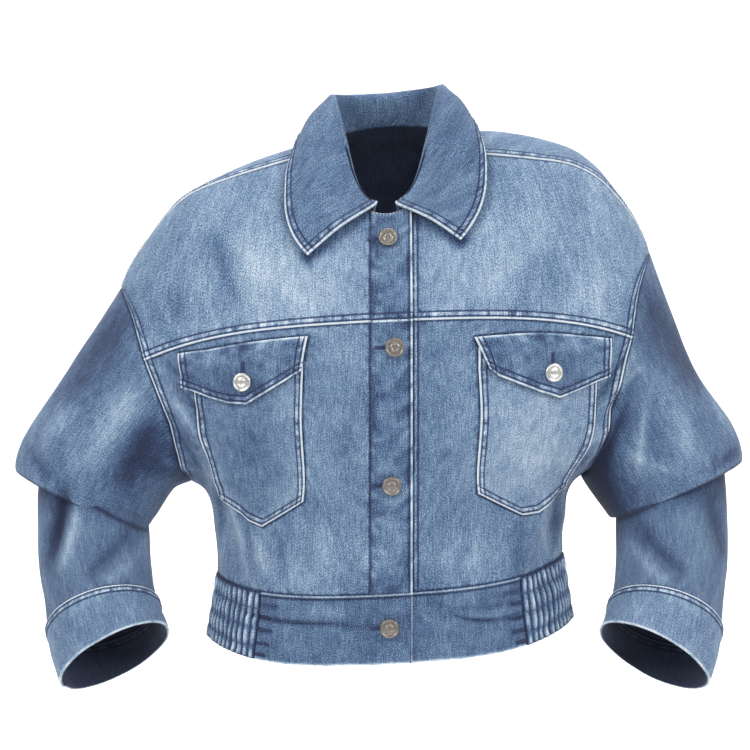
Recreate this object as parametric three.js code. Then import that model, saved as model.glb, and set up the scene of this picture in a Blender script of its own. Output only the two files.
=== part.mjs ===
// A cropped denim jacket with drop shoulders, worn and hollow, as if on a general figure.
// Millimetres, +Z up, the front faces -Y. The origin is the centre of the neckline.
// "Right" and "left" are the wearer's: the right front lies at -X and laps over the left one.
import * as THREE from "three";

const DEG = Math.PI / 180;
const { sin, cos, abs, sign, min, max, sqrt, asin, acos, exp, PI } = Math;
const vec = (x, y, z) => new THREE.Vector3(x, y, z);
const clamp01 = (t) => min(1, max(0, t));
const smooth = (t) => clamp01(t) ** 2 * (3 - 2 * clamp01(t));
const lerp = (a, b, t) => a + (b - a) * t;
const spaced = (from, to, steps) => Array.from({ length: steps + 1 }, (_, i) => lerp(from, to, i / steps));
const sideName = (side) => (side < 0 ? "right" : "left");
const named = (names, rows) => rows.map((row) => Object.fromEntries(names.map((name, k) => [name, row[k]])));

// Cloth
const CLOTH = 1.8; // a single layer of denim with its seam turnings
const DOUBLE = 2.4; // collar, placket and waistband, which are folded double
const SEAM_GAP = 0.3; // between pieces that are sewn edge to edge
const LAID_ON = 0.3; // between a piece and the one that it lies on

// The body, one row for each ring from the neck down. Heights are at the front, side and back; half is the
// half-width, front and back the depths, mid the middle, lift how much higher the left side hangs. level
// keeps the ring's height at the front and back for longer before it turns to its height at the side.
const BODY_RINGS = named(
  ["ring", "zFront", "zSide", "zBack", "half", "front", "back", "mid", "lift", "level"],
  [
    ["neck", -64, 14, 24, 68, 64, 58, 3, 10, 0],
    ["shoulder 1", -82, 5, 12, 119, 75, 72, 2, 24, 0],
    ["shoulder 2", -99, -9, -2, 164, 84, 86, 1, 34, 0],
    ["shoulder 3", -116, -27, -22, 199, 92, 97, 0, 40, 0],
    ["shoulder 4", -133, -60, -52, 229, 99, 105, 0, 42, 0.1],
    ["arm point", -150, -119, -106, 263, 105, 110, 1, 36, 0.4],
    ["yoke seam", -168, -222, -190, 284, 110, 113, 4, 26, 0.8],
    ["chest", -244, -300, -262, 238, 116, 112, 6, 14, 0.9],
    ["underarm", -322, -334, -330, 184, 114, 108, 6, 10, 0.9],
    ["waist", -378, -374, -378, 174, 110, 106, 6, 14, 1],
    ["band seam", -430, -413, -420, 172, 112, 108, 6, 20, 1],
    ["hem", -498, -475, -484, 182, 114, 112, 6, 18, 1],
  ],
);
const FLATNESS = 0.88; // below 1, the front and back are flatter than an ellipse
const NECK = 0; // ring numbers
const SHOULDER_POINT = 5;
const YOKE_SEAM = 6;
const BAND_SEAM = 10;
const HEM = 11;

// The armhole, a closed curve on the body between two of its rings
const ARMHOLE_STEPS = 12; // rows of points along each half of it
const YOKE_STEP = 5; // the yoke seam meets it at this row
const ARMHOLE_HALF = (YOKE_SEAM - SHOULDER_POINT) / (1 - cos((YOKE_STEP * PI) / ARMHOLE_STEPS));
const ARMHOLE_MIDDLE = SHOULDER_POINT + ARMHOLE_HALF;
const ARMHOLE_BOTTOM = SHOULDER_POINT + 2 * ARMHOLE_HALF;
const ARMHOLE_REACH = { front: 33, back: 36 }; // how far its seam comes round from the side, in degrees
const ARMHOLE_SKEW = 0.15; // more of that in its upper half
// How far forward the shoulder seam starts at the neck, in degrees, and how it goes back to the shoulder
const SHOULDER_SEAM = { right: { forward: 22, fade: 1 }, left: { forward: 32, fade: 0.5 } };
const SIDE_STEPS = 4;

// Rows of points at these rings over the shoulders
const SHOULDER_ROWS = [NECK, 0.12, 0.7, 1.4, 2.1, 2.9, 3.7, 4.4, SHOULDER_POINT];
const PLACKET_TOP_ROW = 1;
const BAND_ROWS = 3;
const BACK_COLUMNS = 18;

// Large folds of the body: ridges, or troughs where depth is below 0, between two points given as degrees
// round from the front, - on the right, and a ring number. Width and depth are in millimetres.
const BODY_FOLDS = [
  { fold: "right arm drag", fromTurn: -78, fromRing: 7.9, toTurn: -48, toRing: 7.1, width: 13, depth: -5 },
  { fold: "right arm roll", fromTurn: -84, fromRing: 8.4, toTurn: -56, toRing: 7.7, width: 13, depth: 5 },
  { fold: "right side drop", fromTurn: -72, fromRing: 8.3, toTurn: -64, toRing: 9.6, width: 15, depth: -9 },
  { fold: "right yoke drag", fromTurn: -47, fromRing: 5.7, toTurn: -30, toRing: 4.3, width: 20, depth: -4 },
  { fold: "left arm roll", fromTurn: 80, fromRing: 8.1, toTurn: 54, toRing: 6.9, width: 14, depth: 5 },
  { fold: "left arm drag", fromTurn: 84, fromRing: 8.4, toTurn: 68, toRing: 7.4, width: 12, depth: -4 },
  { fold: "left hip roll", fromTurn: 60, fromRing: 8.4, toTurn: 44, toRing: 9.9, width: 14, depth: 4 },
  { fold: "left hip hollow", fromTurn: 74, fromRing: 8.6, toTurn: 60, toRing: 9.9, width: 13, depth: -5 },
  { fold: "left yoke drag", fromTurn: 44, fromRing: 5.8, toTurn: 26, toRing: 4.2, width: 18, depth: -3 },
  { fold: "front drop right", fromTurn: -26, fromRing: 8.2, toTurn: -30, toRing: 9.8, width: 16, depth: -3 },
  { fold: "front drop left", fromTurn: 22, fromRing: 8.4, toTurn: 25, toRing: 9.8, width: 16, depth: -3 },
  { fold: "back drop right", fromTurn: 218, fromRing: 7.4, toTurn: 210, toRing: 9.8, width: 20, depth: -7 },
  { fold: "back drop left", fromTurn: 140, fromRing: 7.2, toTurn: 149, toRing: 9.8, width: 20, depth: -7 },
  { fold: "back middle roll", fromTurn: 180, fromRing: 7.9, toTurn: 184, toRing: 9.8, width: 24, depth: 5 },
  { fold: "back right blade", fromTurn: 236, fromRing: 7.6, toTurn: 212, toRing: 5.4, width: 20, depth: 5 },
  { fold: "back left blade", fromTurn: 124, fromRing: 7.6, toTurn: 148, toRing: 5.4, width: 20, depth: 5 },
];

// The sleeve, one row for each ring below the armhole. out, depth and z place its middle; tilt turns its
// outer side up from level and lean turns its way down to the front, in degrees; wide and deep are
// half-sizes; tuck is how far the cloth is drawn back up inside the fold at the bent elbow's front.
const SLEEVE_RINGS = [
  { ring: "upper arm", out: 258, depth: 2, z: -277, tilt: 46, lean: -6, wide: 79, deep: 66, tuck: 0 },
  { ring: "above elbow", out: 288, depth: 4, z: -322, tilt: 31, lean: -4, wide: 77, deep: 67, tuck: 0 },
  { ring: "fold lip", out: 297, depth: 6, z: -342, tilt: 25, lean: 0, wide: 73, deep: 65, tuck: -2 },
  { ring: "fold turn", out: 297, depth: 5, z: -346, tilt: 23, lean: 4, wide: 67, deep: 60, tuck: 3 },
  { ring: "fold under", out: 296, depth: 2, z: -352, tilt: 20, lean: 8, wide: 62, deep: 57, tuck: 24 },
  { ring: "fold inside", out: 294, depth: -1, z: -358, tilt: 16, lean: 12, wide: 57, deep: 53, tuck: 28 },
  { ring: "forearm", out: 289, depth: -14, z: -378, tilt: 5, lean: 24, wide: 56, deep: 52, tuck: 12 },
  { ring: "mid forearm", out: 285, depth: -38, z: -410, tilt: -8, lean: 32, wide: 55, deep: 51, tuck: 0 },
  { ring: "low forearm", out: 279, depth: -64, z: -436, tilt: -15, lean: 36, wide: 54, deep: 51, tuck: 0 },
  { ring: "cuff seam", out: 274, depth: -84, z: -456, tilt: -20, lean: 37, wide: 55, deep: 51, tuck: 0 },
];
const SLEEVE_STRETCHES = [
  { to: 2, steps: 8 },
  { to: 6, steps: 7 },
  { to: 9, steps: 4 },
];
const ARMHOLE_RING = -1; // the sleeve's ring number at the armhole
const CUFF_RINGS = [
  { ring: "seam", out: 273.8, depth: -84.4, z: -456.4, tilt: -20, lean: 37, wide: 57, deep: 53, tuck: 0 },
  { ring: "middle", out: 267, depth: -102, z: -474, tilt: -25, lean: 33, wide: 58, deep: 53, tuck: 0 },
  { ring: "opening", out: 259, depth: -119, z: -489, tilt: -31, lean: 28, wide: 58.5, deep: 52, tuck: 0 },
];
const CUFF_ROWS = 3;
const CUFF_WALL = 3.2; // the turned-up cloth, four layers
const TUCK = { turn: 80, least: 0.08, spread: 0.7 }; // deepest at the elbow's front, nearly gone behind it
// How much closer and higher each arm hangs than the table says, fading out at the cuff
const ARM_SHIFT = { right: { near: -7, up: -5 }, left: { near: 5, up: 7 } };

// Front fastening, as edges beside the front's middle line
const FRONT_MIDDLE = 6; // that line's x
const PLACKET = { right: -19, left: 21, columns: 5 };
const UNDERLAP = -15; // the left front's edge, under the placket
const BUTTONS = [
  { across: -2, z: -90 },
  { across: 4, z: -193 },
  { across: 1, z: -325 },
  { across: -1, z: -463 },
];
const BUTTON_RADIUS = 9.4;

// Lines across each front that its chest pocket and flap follow, from the yoke seam down. z is the height at
// the pocket's inner side, slope the line's rise on the way out, bow its arch, tip the depth of its point at
// tipAt and rest the part of that left at the outer side; outer is how far out the pocket's outer side is,
// steps the rows of points down to this line from the one above.
const FRONT_LINES = {
  right: [
    { line: "flap top", z: -182, slope: -0.16, bow: 2, tip: 0, tipAt: 0.5, rest: 0, outer: 196, steps: 1 },
    { line: "pocket top", z: -192, slope: -0.16, bow: 2, tip: 0, tipAt: 0.5, rest: 0, outer: 194, steps: 1 },
    { line: "flap", z: -215, slope: -0.16, bow: 0, tip: 26, tipAt: 0.54, rest: 0.19, outer: 190, steps: 2 },
    { line: "pocket", z: -342, slope: 0, bow: 0, tip: 29, tipAt: 0.55, rest: 0, outer: 164, steps: 3 },
  ],
  left: [
    { line: "flap top", z: -183, slope: -0.02, bow: 5, tip: 0, tipAt: 0.5, rest: 0, outer: 206, steps: 1 },
    { line: "pocket top", z: -193, slope: -0.02, bow: 5, tip: 0, tipAt: 0.5, rest: 0, outer: 204, steps: 1 },
    { line: "flap", z: -213, slope: -0.07, bow: 0, tip: 24, tipAt: 0.65, rest: 0.2, outer: 200, steps: 2 },
    { line: "pocket", z: -334, slope: 0, bow: 0, tip: 27, tipAt: 0.58, rest: 0, outer: 171, steps: 3 },
  ],
};
const BELOW_POCKET = { outer: 158, steps: 4 };
const FLAP_TOP_ROW = 1;
const POCKET_ROWS = { first: 2, last: 7 };
const POCKET = { inner: 84, columns: 6 };
const INNER_COLUMNS = { right: 3, left: 2 }; // from the opening's columns to the pocket
const OUTER_COLUMNS = 4; // from the pocket to the armhole or side seam
const FLAP = {
  right: { innerTop: 79, innerLow: 85, outerTop: 206, outerLow: 201 },
  left: { innerTop: 80, innerLow: 94, outerTop: 214, outerLow: 211 },
};
const FLAP_RISE = [0.2, 2.6, 3.2, 4.2]; // how far its rows stand off the front, plus LAID_ON
const FLAP_BUTTON = { radius: 9, row: 2.15, column: { right: 3.1, left: 3.5 } };

// Gathered side panels in the waistband, between degrees of turn
const ELASTIC = { from: 47, to: 130, pleats: 26, channels: 4, puff: 2.8, pinched: 0.4, base: 0.6 };

// The collar, from the middle of the back, share 0, to its front ends, share 1. stand is its height over the
// neckline, lean how far its fold leans in; edgeTurn and edgeRing place the leaf's edge over the body.
const COLLAR = [
  { share: 0, stand: 32, lean: 10, edgeTurn: 180, edgeRing: 1.3 },
  { share: 0.125, stand: 34, lean: 11, edgeTurn: 159, edgeRing: 1.2 },
  { share: 0.25, stand: 38, lean: 12, edgeTurn: 138, edgeRing: 0.95 },
  { share: 0.375, stand: 42, lean: 13, edgeTurn: 117, edgeRing: 0.65 },
  { share: 0.5, stand: 43, lean: 15, edgeTurn: 95, edgeRing: 0.42 },
  { share: 0.625, stand: 34, lean: 18, edgeTurn: 72, edgeRing: 0.58 },
  { share: 0.75, stand: 20, lean: 18, edgeTurn: 53, edgeRing: 1.08 },
  { share: 0.875, stand: 10.5, lean: 11, edgeTurn: 38, edgeRing: 1.8 },
  { share: 1, stand: 7.5, lean: 2.5, edgeTurn: 22.5, edgeRing: 2.8 },
];
const COLLAR_END = { right: -15, left: 6.6 }; // beside the front's middle line
const COLLAR_ROLL = { back: 3.2, front: 2.4 }; // radius inside the fold
const COLLAR_CLEAR = 3.8; // the leaf's underside over the body
const COLLAR_GAP = 0.6;
const LEAF_BULGE = 4.5;
const COLLAR_ROWS = [0, 1, 1.75, 2.4, 3, 3.5, 4.1, 5, 6]; // places along the seven points of its profile

const WASH = new THREE.Color(0x7d9cc0);
const METAL = { color: 0xa9a49c, roughness: 0.35, metalness: 0.9 };
const denim = (shade) =>
  new THREE.MeshStandardMaterial({ color: WASH.clone().multiplyScalar(shade), roughness: 0.9, metalness: 0 });

// A Catmull-Rom curve from the second of four values to the third.
function curve([a, b, c, d], t) {
  return b + 0.5 * t * (c - a + t * (2 * a - 5 * b + 4 * c - d + t * (3 * (b - c) + d - a)));
}

// A value of a table's column between its rows, on a smooth curve through them.
function column(table, key, at) {
  const last = table.length - 1;
  const i = min(last - 1, max(0, Math.floor(at)));
  const values = [i - 1, i, i + 1, i + 2].map((k) => table[min(last, max(0, k))][key]);
  return curve(values, at - i);
}

// The body's smooth form: turn is degrees round from the front, + to the left; ring counts rows of its table.
function bodyForm(turn, ring) {
  const at = (key) => column(BODY_RINGS, key, ring);
  const s = sin(turn * DEG);
  const c = cos(turn * DEG);
  const zSide = at("zSide");
  const zEnd = at(c > 0 ? "zFront" : "zBack");
  return vec(
    at("mid") + at("half") * s,
    -sign(c) * at(c > 0 ? "front" : "back") * abs(c) ** FLATNESS,
    zSide + (zEnd - zSide) * c * c * (1 + at("level") * s * s) + (at("lift") / 2) * s,
  );
}

// The way out of a surface that a function of two numbers gives.
function wayOut(surface, a, b, stepA, stepB) {
  const alongA = surface(a + stepA, b).sub(surface(a - stepA, b));
  const alongB = surface(a, b + stepB).sub(surface(a, b - stepB));
  return alongB.cross(alongA).normalize();
}
const bodyOut = (turn, ring) => wayOut(bodyForm, turn, min(HEM - 0.02, max(0.02, ring)), 0.5, 0.02);

// How far a fold moves a point of the body outwards.
function foldAt(point, fold) {
  const from = bodyForm(fold.fromTurn, fold.fromRing);
  const line = bodyForm(fold.toTurn, fold.toRing).sub(from);
  const along = clamp01(point.clone().sub(from).dot(line) / line.lengthSq());
  const away = point.distanceTo(from.addScaledVector(line, along));
  return fold.depth * exp(-((away / fold.width) ** 2)) * sqrt(sin(PI * lerp(0.04, 0.96, along)));
}

// The worn body with its folds, moved out by off. The folds fade out at the neck and the waistband.
function body(turn, ring, off = 0) {
  const point = bodyForm(turn, ring);
  const fade = smooth(ring / 2) * smooth((BAND_SEAM + 0.6 - ring) / 0.7);
  const folds = BODY_FOLDS.reduce((sum, fold) => sum + foldAt(point, fold), 0);
  return point.addScaledVector(bodyOut(turn, ring), off + folds * fade);
}
const laid = (grid, off = 0) => grid.map((row) => row.map((spot) => body(spot.turn, spot.ring, off)));

// The turn at which a ring is across millimetres beside the front's middle line.
function turnAt(across, ring) {
  const share = (FRONT_MIDDLE + across - column(BODY_RINGS, "mid", ring)) / column(BODY_RINGS, "half", ring);
  return asin(min(1, max(-1, share))) / DEG;
}

// The spot of the front that lies at a height, across millimetres beside its middle line.
function spotAt(across, z) {
  let [high, low] = [NECK, HEM];
  for (let i = 0; i < 30; i++) {
    const ring = (high + low) / 2;
    if (bodyForm(turnAt(across, ring), ring).z > z) high = ring;
    else low = ring;
  }
  return { turn: turnAt(across, high), ring: high };
}

// The armhole's edge: its rings, its turn at a ring, and a point by the angle round it, 0 at its top,
// 90 at its front and 180 at the underarm.
const armholeRing = (step) => ARMHOLE_MIDDLE - ARMHOLE_HALF * cos((step * PI) / ARMHOLE_STEPS);
function armholeTurn(ring, front) {
  const at = (ring - ARMHOLE_MIDDLE) / ARMHOLE_HALF;
  const reach = sqrt(max(0, 1 - at * at)) * (1 - ARMHOLE_SKEW * at);
  return 90 + (front ? -ARMHOLE_REACH.front : ARMHOLE_REACH.back) * reach;
}
function armholeEdge(angle, side) {
  const ring = ARMHOLE_MIDDLE - ARMHOLE_HALF * cos(angle * DEG);
  return body(side * armholeTurn(ring, sin(angle * DEG) >= 0), ring);
}

// The same point moved by the cloth's thickness into the armhole, where the sleeve's inside meets the body's.
function armholeInside(angle, side) {
  const point = armholeEdge(angle, side);
  const centre = armholeEdge(0, side).add(armholeEdge(180, side)).multiplyScalar(0.5);
  return point.add(centre.sub(point).setLength(CLOTH));
}
const onArmhole = (ring) => ring > SHOULDER_POINT - 1e-6 && ring < ARMHOLE_BOTTOM + 1e-6;
const armholeAngle = (ring) => acos(min(1, max(-1, (ARMHOLE_MIDDLE - ring) / ARMHOLE_HALF))) / DEG;

// The turn of a panel's outer edge at a ring: shoulder seam, then armhole, then side seam.
function seamTurn(ring, front, side) {
  if (ring >= ARMHOLE_BOTTOM) return 90;
  if (ring >= SHOULDER_POINT) return armholeTurn(ring, front);
  return shoulderTurn(ring, side);
}
function shoulderTurn(ring, side) {
  const { forward, fade } = SHOULDER_SEAM[sideName(side)];
  return 90 - forward * smooth((SHOULDER_POINT - ring) / SHOULDER_POINT) ** fade;
}

// The same edge without the armhole's quick turns at its top and bottom. Columns inside a panel follow this
// one, and come to the real edge only as share, their part of the way out, nears 1.
function easyTurn(ring, front, side) {
  const reach = armholeTurn(YOKE_SEAM, front) - 90;
  return shoulderTurn(ring, side) + reach * smooth((ring - 3.5) / 2.5) * (1 - smooth((ring - 6.6) / 1.8));
}
function columnTurn(start, share, ring, front, side) {
  const easy = easyTurn(ring, front, side);
  return lerp(start, easy, share) + (seamTurn(ring, front, side) - easy) * share ** 6;
}

// The rings of the rows of points below the yoke seam at the side, and above it.
const LOWER_ROWS = [
  ...spaced(YOKE_STEP, ARMHOLE_STEPS, ARMHOLE_STEPS - YOKE_STEP).map(armholeRing),
  ...spaced(ARMHOLE_BOTTOM, BAND_SEAM, SIDE_STEPS).slice(1),
];
const UPPER_ROWS = [...SHOULDER_ROWS, ...spaced(1, YOKE_STEP, YOKE_STEP - 1).map(armholeRing)];

// The columns of points at the opening, as places beside the front's middle line.
const OPENING = {
  right: [PLACKET.right],
  left: spaced(UNDERLAP, PLACKET.left, PLACKET.columns),
};

// A front below the yoke seam: rows of spots that follow the lines of its pocket and flap.
function lowerFrontGrid(side) {
  const opening = OPENING[sideName(side)];
  const innerSteps = INNER_COLUMNS[sideName(side)];
  const inner = spaced(opening.at(-1), side * POCKET.inner, innerSteps).slice(1, -1);
  const shares = spaced(0, 1, POCKET.columns);
  const table = FRONT_LINES[sideName(side)];
  const along = (outer, spot) => [
    ...[...opening, ...inner].map((across) => spot(across, 0)),
    ...shares.map((share) => spot(side * lerp(POCKET.inner, outer, share), share)),
  ];
  const onRing = (ring, outer) => along(outer, (across) => ({ turn: turnAt(across, ring), ring }));
  const onLine = ({ z, slope, bow, tip, tipAt, rest, outer }) =>
    along(outer, (across, share) => {
      const point = share < tipAt ? share / tipAt : lerp(1, rest, (share - tipAt) / (1 - tipAt));
      const sloped = slope * max(0, abs(across) - POCKET.inner);
      return spotAt(across, z + sloped + bow * sin(PI * share) - tip * point);
    });
  const lines = [
    onRing(YOKE_SEAM, table[0].outer),
    ...table.map(onLine),
    onRing(BAND_SEAM, BELOW_POCKET.outer),
  ];
  const between = (a, b, t) => a.map((spot, j) => mixed(spot, b[j], t));
  const rows = [...table, BELOW_POCKET].flatMap(({ steps }, k) =>
    spaced(0, 1, steps)
      .slice(k ? 1 : 0)
      .map((t) => between(lines[k], lines[k + 1], t)),
  );
  return rows.map((row, i) => {
    const edge = { turn: side * seamTurn(LOWER_ROWS[i], true, side), ring: LOWER_ROWS[i] };
    const outward = spaced(0, 1, OUTER_COLUMNS).slice(1);
    return [...row, ...outward.map((t) => mixed(row.at(-1), edge, t))];
  });
}
const mixed = (a, b, t) => ({ turn: lerp(a.turn, b.turn, t), ring: lerp(a.ring, b.ring, t) });

// A front above the yoke seam. Its columns meet those below the seam and fan out to the neck and shoulder.
function yokeGrid(side, lower) {
  const opening = OPENING[sideName(side)];
  const start = lower[0][opening.length - 1].turn;
  const seam = lower[0].slice(opening.length).map((spot) => spot.turn);
  return UPPER_ROWS.map((ring) => {
    const fixed = opening.map((across) => turnAt(across, ring));
    const share = (turn) => (turn - start) / (seam.at(-1) - start);
    const fan = seam.map((turn) => side * columnTurn(side * fixed.at(-1), share(turn), ring, true, side));
    return [...fixed, ...fan].map((turn) => ({ turn, ring }));
  });
}

function backGrid() {
  return [...UPPER_ROWS.slice(0, -1), ...LOWER_ROWS].map((ring) => {
    const shares = spaced(0, 1, BACK_COLUMNS / 2);
    const half = (side) => shares.map((share) => columnTurn(180, share, ring, false, side));
    const right = half(-1).map((turn) => 360 - turn);
    return [...half(1).reverse(), ...right.slice(1)].map((turn) => ({ turn, ring }));
  });
}

const lowerFronts = { right: lowerFrontGrid(-1), left: lowerFrontGrid(1) };
const yokes = { right: yokeGrid(-1, lowerFronts.right), left: yokeGrid(1, lowerFronts.left) };
const back = backGrid();

// A mesh of shared points, turned the right way out.
function solid(name, material, points, index) {
  let sixVolumes = 0;
  for (let i = 0; i < index.length; i += 3) {
    const [a, b, c] = [0, 1, 2].map((k) => points[index[i + k]]);
    sixVolumes += a.clone().cross(b).dot(c);
  }
  if (sixVolumes < 0) index.reverse();
  const geometry = new THREE.BufferGeometry();
  const numbers = points.flatMap((p) => [p.x, p.y, p.z]);
  geometry.setAttribute("position", new THREE.Float32BufferAttribute(numbers, 3));
  geometry.setIndex(index);
  geometry.computeVertexNormals();
  const mesh = new THREE.Mesh(geometry, material);
  mesh.name = name;
  return mesh;
}

// A face of points with each sewn edge drawn back by half a seam's gap.
function drawnBack(face, closed) {
  const inwards = (k, count) => (k === 0 ? 1 : k === count - 1 ? count - 2 : k);
  return face.map((row, i) =>
    row.map((point, j) => {
      const neighbours = [face[inwards(i, face.length)][j]];
      if (!closed) neighbours.push(row[inwards(j, row.length)]);
      const moves = neighbours.filter((p) => p !== point).map((p) => p.clone().sub(point));
      return moves.reduce((p, move) => p.add(move.setLength(SEAM_GAP / 2)), point.clone());
    }),
  );
}

// A wall of cloth between an outer and an inner face of points; closed joins each row's end to its start.
function wall(name, material, outer, inner, { closed = false, sewn = true } = {}) {
  const [rows, columns] = [outer.length, outer[0].length];
  const faces = sewn ? [drawnBack(outer, closed), drawnBack(inner, closed)] : [outer, inner];
  const at = (face, i, j) => (face * rows + i) * columns + (j % columns);
  const index = [];
  const quad = (a, b, c, d) => index.push(a, b, c, a, c, d);
  const across = closed ? columns : columns - 1;
  for (let j = 0; j < across; j++) {
    for (let i = 0; i < rows - 1; i++) {
      quad(at(0, i, j), at(0, i + 1, j), at(0, i + 1, j + 1), at(0, i, j + 1));
      quad(at(1, i, j), at(1, i, j + 1), at(1, i + 1, j + 1), at(1, i + 1, j));
    }
    const i = rows - 1;
    quad(at(0, 0, j), at(0, 0, j + 1), at(1, 0, j + 1), at(1, 0, j));
    quad(at(0, i, j), at(1, i, j), at(1, i, j + 1), at(0, i, j + 1));
  }
  for (let i = 0; i < rows - 1 && !closed; i++) {
    const j = columns - 1;
    quad(at(0, i, 0), at(1, i, 0), at(1, i + 1, 0), at(0, i + 1, 0));
    quad(at(0, i, j), at(0, i + 1, j), at(1, i + 1, j), at(1, i, j));
  }
  return solid(name, material, faces.flat(2), index);
}

// A panel of the body. Its inner face meets the sleeve's at each armhole column.
function bodyPanel(name, shade, grid, armholes) {
  const inner = grid.map((row) =>
    row.map((spot, j) => {
      const hole = armholes.find((h) => h.column === j);
      if (hole && onArmhole(spot.ring)) return armholeInside(hole.way * armholeAngle(spot.ring), hole.side);
      return body(spot.turn, spot.ring, -CLOTH);
    }),
  );
  return wall(name, denim(shade), laid(grid), inner);
}

function fronts(side) {
  const name = sideName(side);
  const armhole = [{ column: yokes[name][0].length - 1, way: 1, side }];
  return [
    bodyPanel(`front_yoke_${name}`, 1.08, yokes[name], armhole),
    bodyPanel(`front_${name}`, 1, lowerFronts[name], armhole),
  ];
}

function backPanel() {
  const armholes = [
    { column: 0, way: -1, side: 1 },
    { column: BACK_COLUMNS, way: -1, side: -1 },
  ];
  return bodyPanel("back", 0.98, back, armholes);
}

// The button band, laid on the left front from the neck to the waistband.
function placket() {
  const left = [...yokes.left.slice(PLACKET_TOP_ROW, -1), ...lowerFronts.left];
  const grid = left.map((row) => [
    { turn: turnAt(PLACKET.right, row[0].ring), ring: row[0].ring },
    ...row.slice(0, PLACKET.columns + 1),
  ]);
  return wall("placket", denim(0.86), laid(grid, LAID_ON + DOUBLE), laid(grid, LAID_ON));
}

// A part of the waistband between columns at given turns; lift raises a column off the body.
function band(name, turns, thick, lift = () => 0) {
  const rings = spaced(BAND_SEAM, HEM, BAND_ROWS);
  const face = (off) => rings.map((ring) => turns(ring).map((turn, j) => body(turn, ring, off + lift(j))));
  return wall(name, denim(0.92), face(0), face(-thick));
}

// The waistband's three plain parts. The right front one laps over the left one.
function waistband() {
  const columns = 6;
  const overlap = (ring) => [turnAt(UNDERLAP, ring), turnAt(PLACKET.left, ring)];
  const onward = (from, to) => spaced(from, to, columns).slice(1);
  const leftTurns = (ring) => [...overlap(ring), ...onward(overlap(ring)[1], ELASTIC.from)];
  const rightTurns = (ring) => [...overlap(ring).reverse(), ...onward(overlap(ring)[0], -ELASTIC.from)];
  const lift = (j) => (j < 2 ? LAID_ON + DOUBLE : j === 2 ? 1 : 0);
  return [
    band("waistband_left", leftTurns, CLOTH),
    band("waistband_right", rightTurns, DOUBLE, lift),
    band("waistband_back", () => spaced(ELASTIC.to, 360 - ELASTIC.to, 8), DOUBLE),
  ];
}

// A gathered side panel: pleats between rows of stitching, raised over a plain inside.
function elastic(side) {
  const rings = spaced(BAND_SEAM, HEM, ELASTIC.channels * 2);
  const turns = spaced(side * ELASTIC.from, side * ELASTIC.to, ELASTIC.pleats * 2);
  const rise = (i, j) => ELASTIC.base + ELASTIC.puff * (j % 2) * (i % 2 ? 1 : ELASTIC.pinched);
  const outer = rings.map((ring, i) => turns.map((turn, j) => body(turn, ring, rise(i, j))));
  const inner = rings.map((ring) => turns.map((turn) => body(turn, ring, -CLOTH)));
  return wall(`side_elastic_${sideName(side)}`, denim(0.8), outer, inner);
}

// A point on a sleeve's ring. angle is 0 on the outer side, 90 at the front, 180 next to the body.
function armRing(table, ring, angle, side) {
  const at = (key) => column(table, key, ring);
  const tilt = at("tilt") * DEG;
  const lean = at("lean") * DEG;
  const fade = table === SLEEVE_RINGS ? smooth(1 - ring / (SLEEVE_RINGS.length - 1)) : 0;
  const { near, up } = ARM_SHIFT[sideName(side)];
  const outward = vec(side * cos(tilt), 0, sin(tilt));
  const down = vec(side * sin(tilt), 0, -cos(tilt));
  const facing = vec(0, -cos(lean), 0).addScaledVector(down, -sin(lean));
  const along = vec(0, -sin(lean), 0).addScaledVector(down, cos(lean));
  const frontness = (0.5 + 0.5 * cos((angle - TUCK.turn) * DEG)) ** TUCK.spread;
  return vec(side * (at("out") - near * fade), at("depth"), at("z") + up * fade)
    .addScaledVector(outward, at("wide") * cos(angle * DEG))
    .addScaledVector(facing, at("deep") * sin(angle * DEG))
    .addScaledVector(along, -at("tuck") * lerp(TUCK.least, 1, frontness));
}

// The sleeve's form, from the armhole to the cuff's seam.
function sleeveForm(angle, ring, side) {
  if (ring >= 1) return armRing(SLEEVE_RINGS, ring, angle, side);
  const edge = armholeEdge(angle, side);
  const rings = [0, 1, 2].map((k) => armRing(SLEEVE_RINGS, k, angle, side));
  const step = rings[0].clone().sub(edge);
  const onward = rings[1].clone().sub(rings[0]);
  const before = edge.clone().sub(step);
  const after = rings[0].clone().addScaledVector(onward, min(1, step.length() / onward.length()));
  const knots = ring < 0 ? [before, edge, rings[0], after] : [edge, ...rings];
  const t = ring < 0 ? ring - ARMHOLE_RING : ring;
  return vec(...["x", "y", "z"].map((axis) => curve(knots.map((knot) => knot[axis]), t)));
}
const armAngles = spaced(0, 360, ARMHOLE_STEPS * 2).slice(0, -1);

function sleeve(side) {
  const starts = [ARMHOLE_RING, ...SLEEVE_STRETCHES.map((stretch) => stretch.to)];
  const stretches = SLEEVE_STRETCHES.map(({ to, steps }, k) => spaced(starts[k], to, steps).slice(1));
  const rings = [ARMHOLE_RING, ...stretches.flat()];
  const form = (angle, ring) => sleeveForm(angle, ring, side);
  const edge = 0.03; // keeps the samples for the way out inside the sleeve's ends
  const inside = (angle, ring) => {
    if (ring === ARMHOLE_RING) return armholeInside(angle, side);
    const nearest = min(SLEEVE_RINGS.length - 1 - edge, max(ARMHOLE_RING + edge, ring));
    return form(angle, ring).addScaledVector(wayOut(form, angle, nearest, 1, edge), side * CLOTH);
  };
  const outer = rings.map((ring) => armAngles.map((angle) => form(angle, ring)));
  const inner = rings.map((ring) => armAngles.map((angle) => inside(angle, ring)));
  return wall(`sleeve_${sideName(side)}`, denim(0.9), outer, inner, { closed: true });
}

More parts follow.
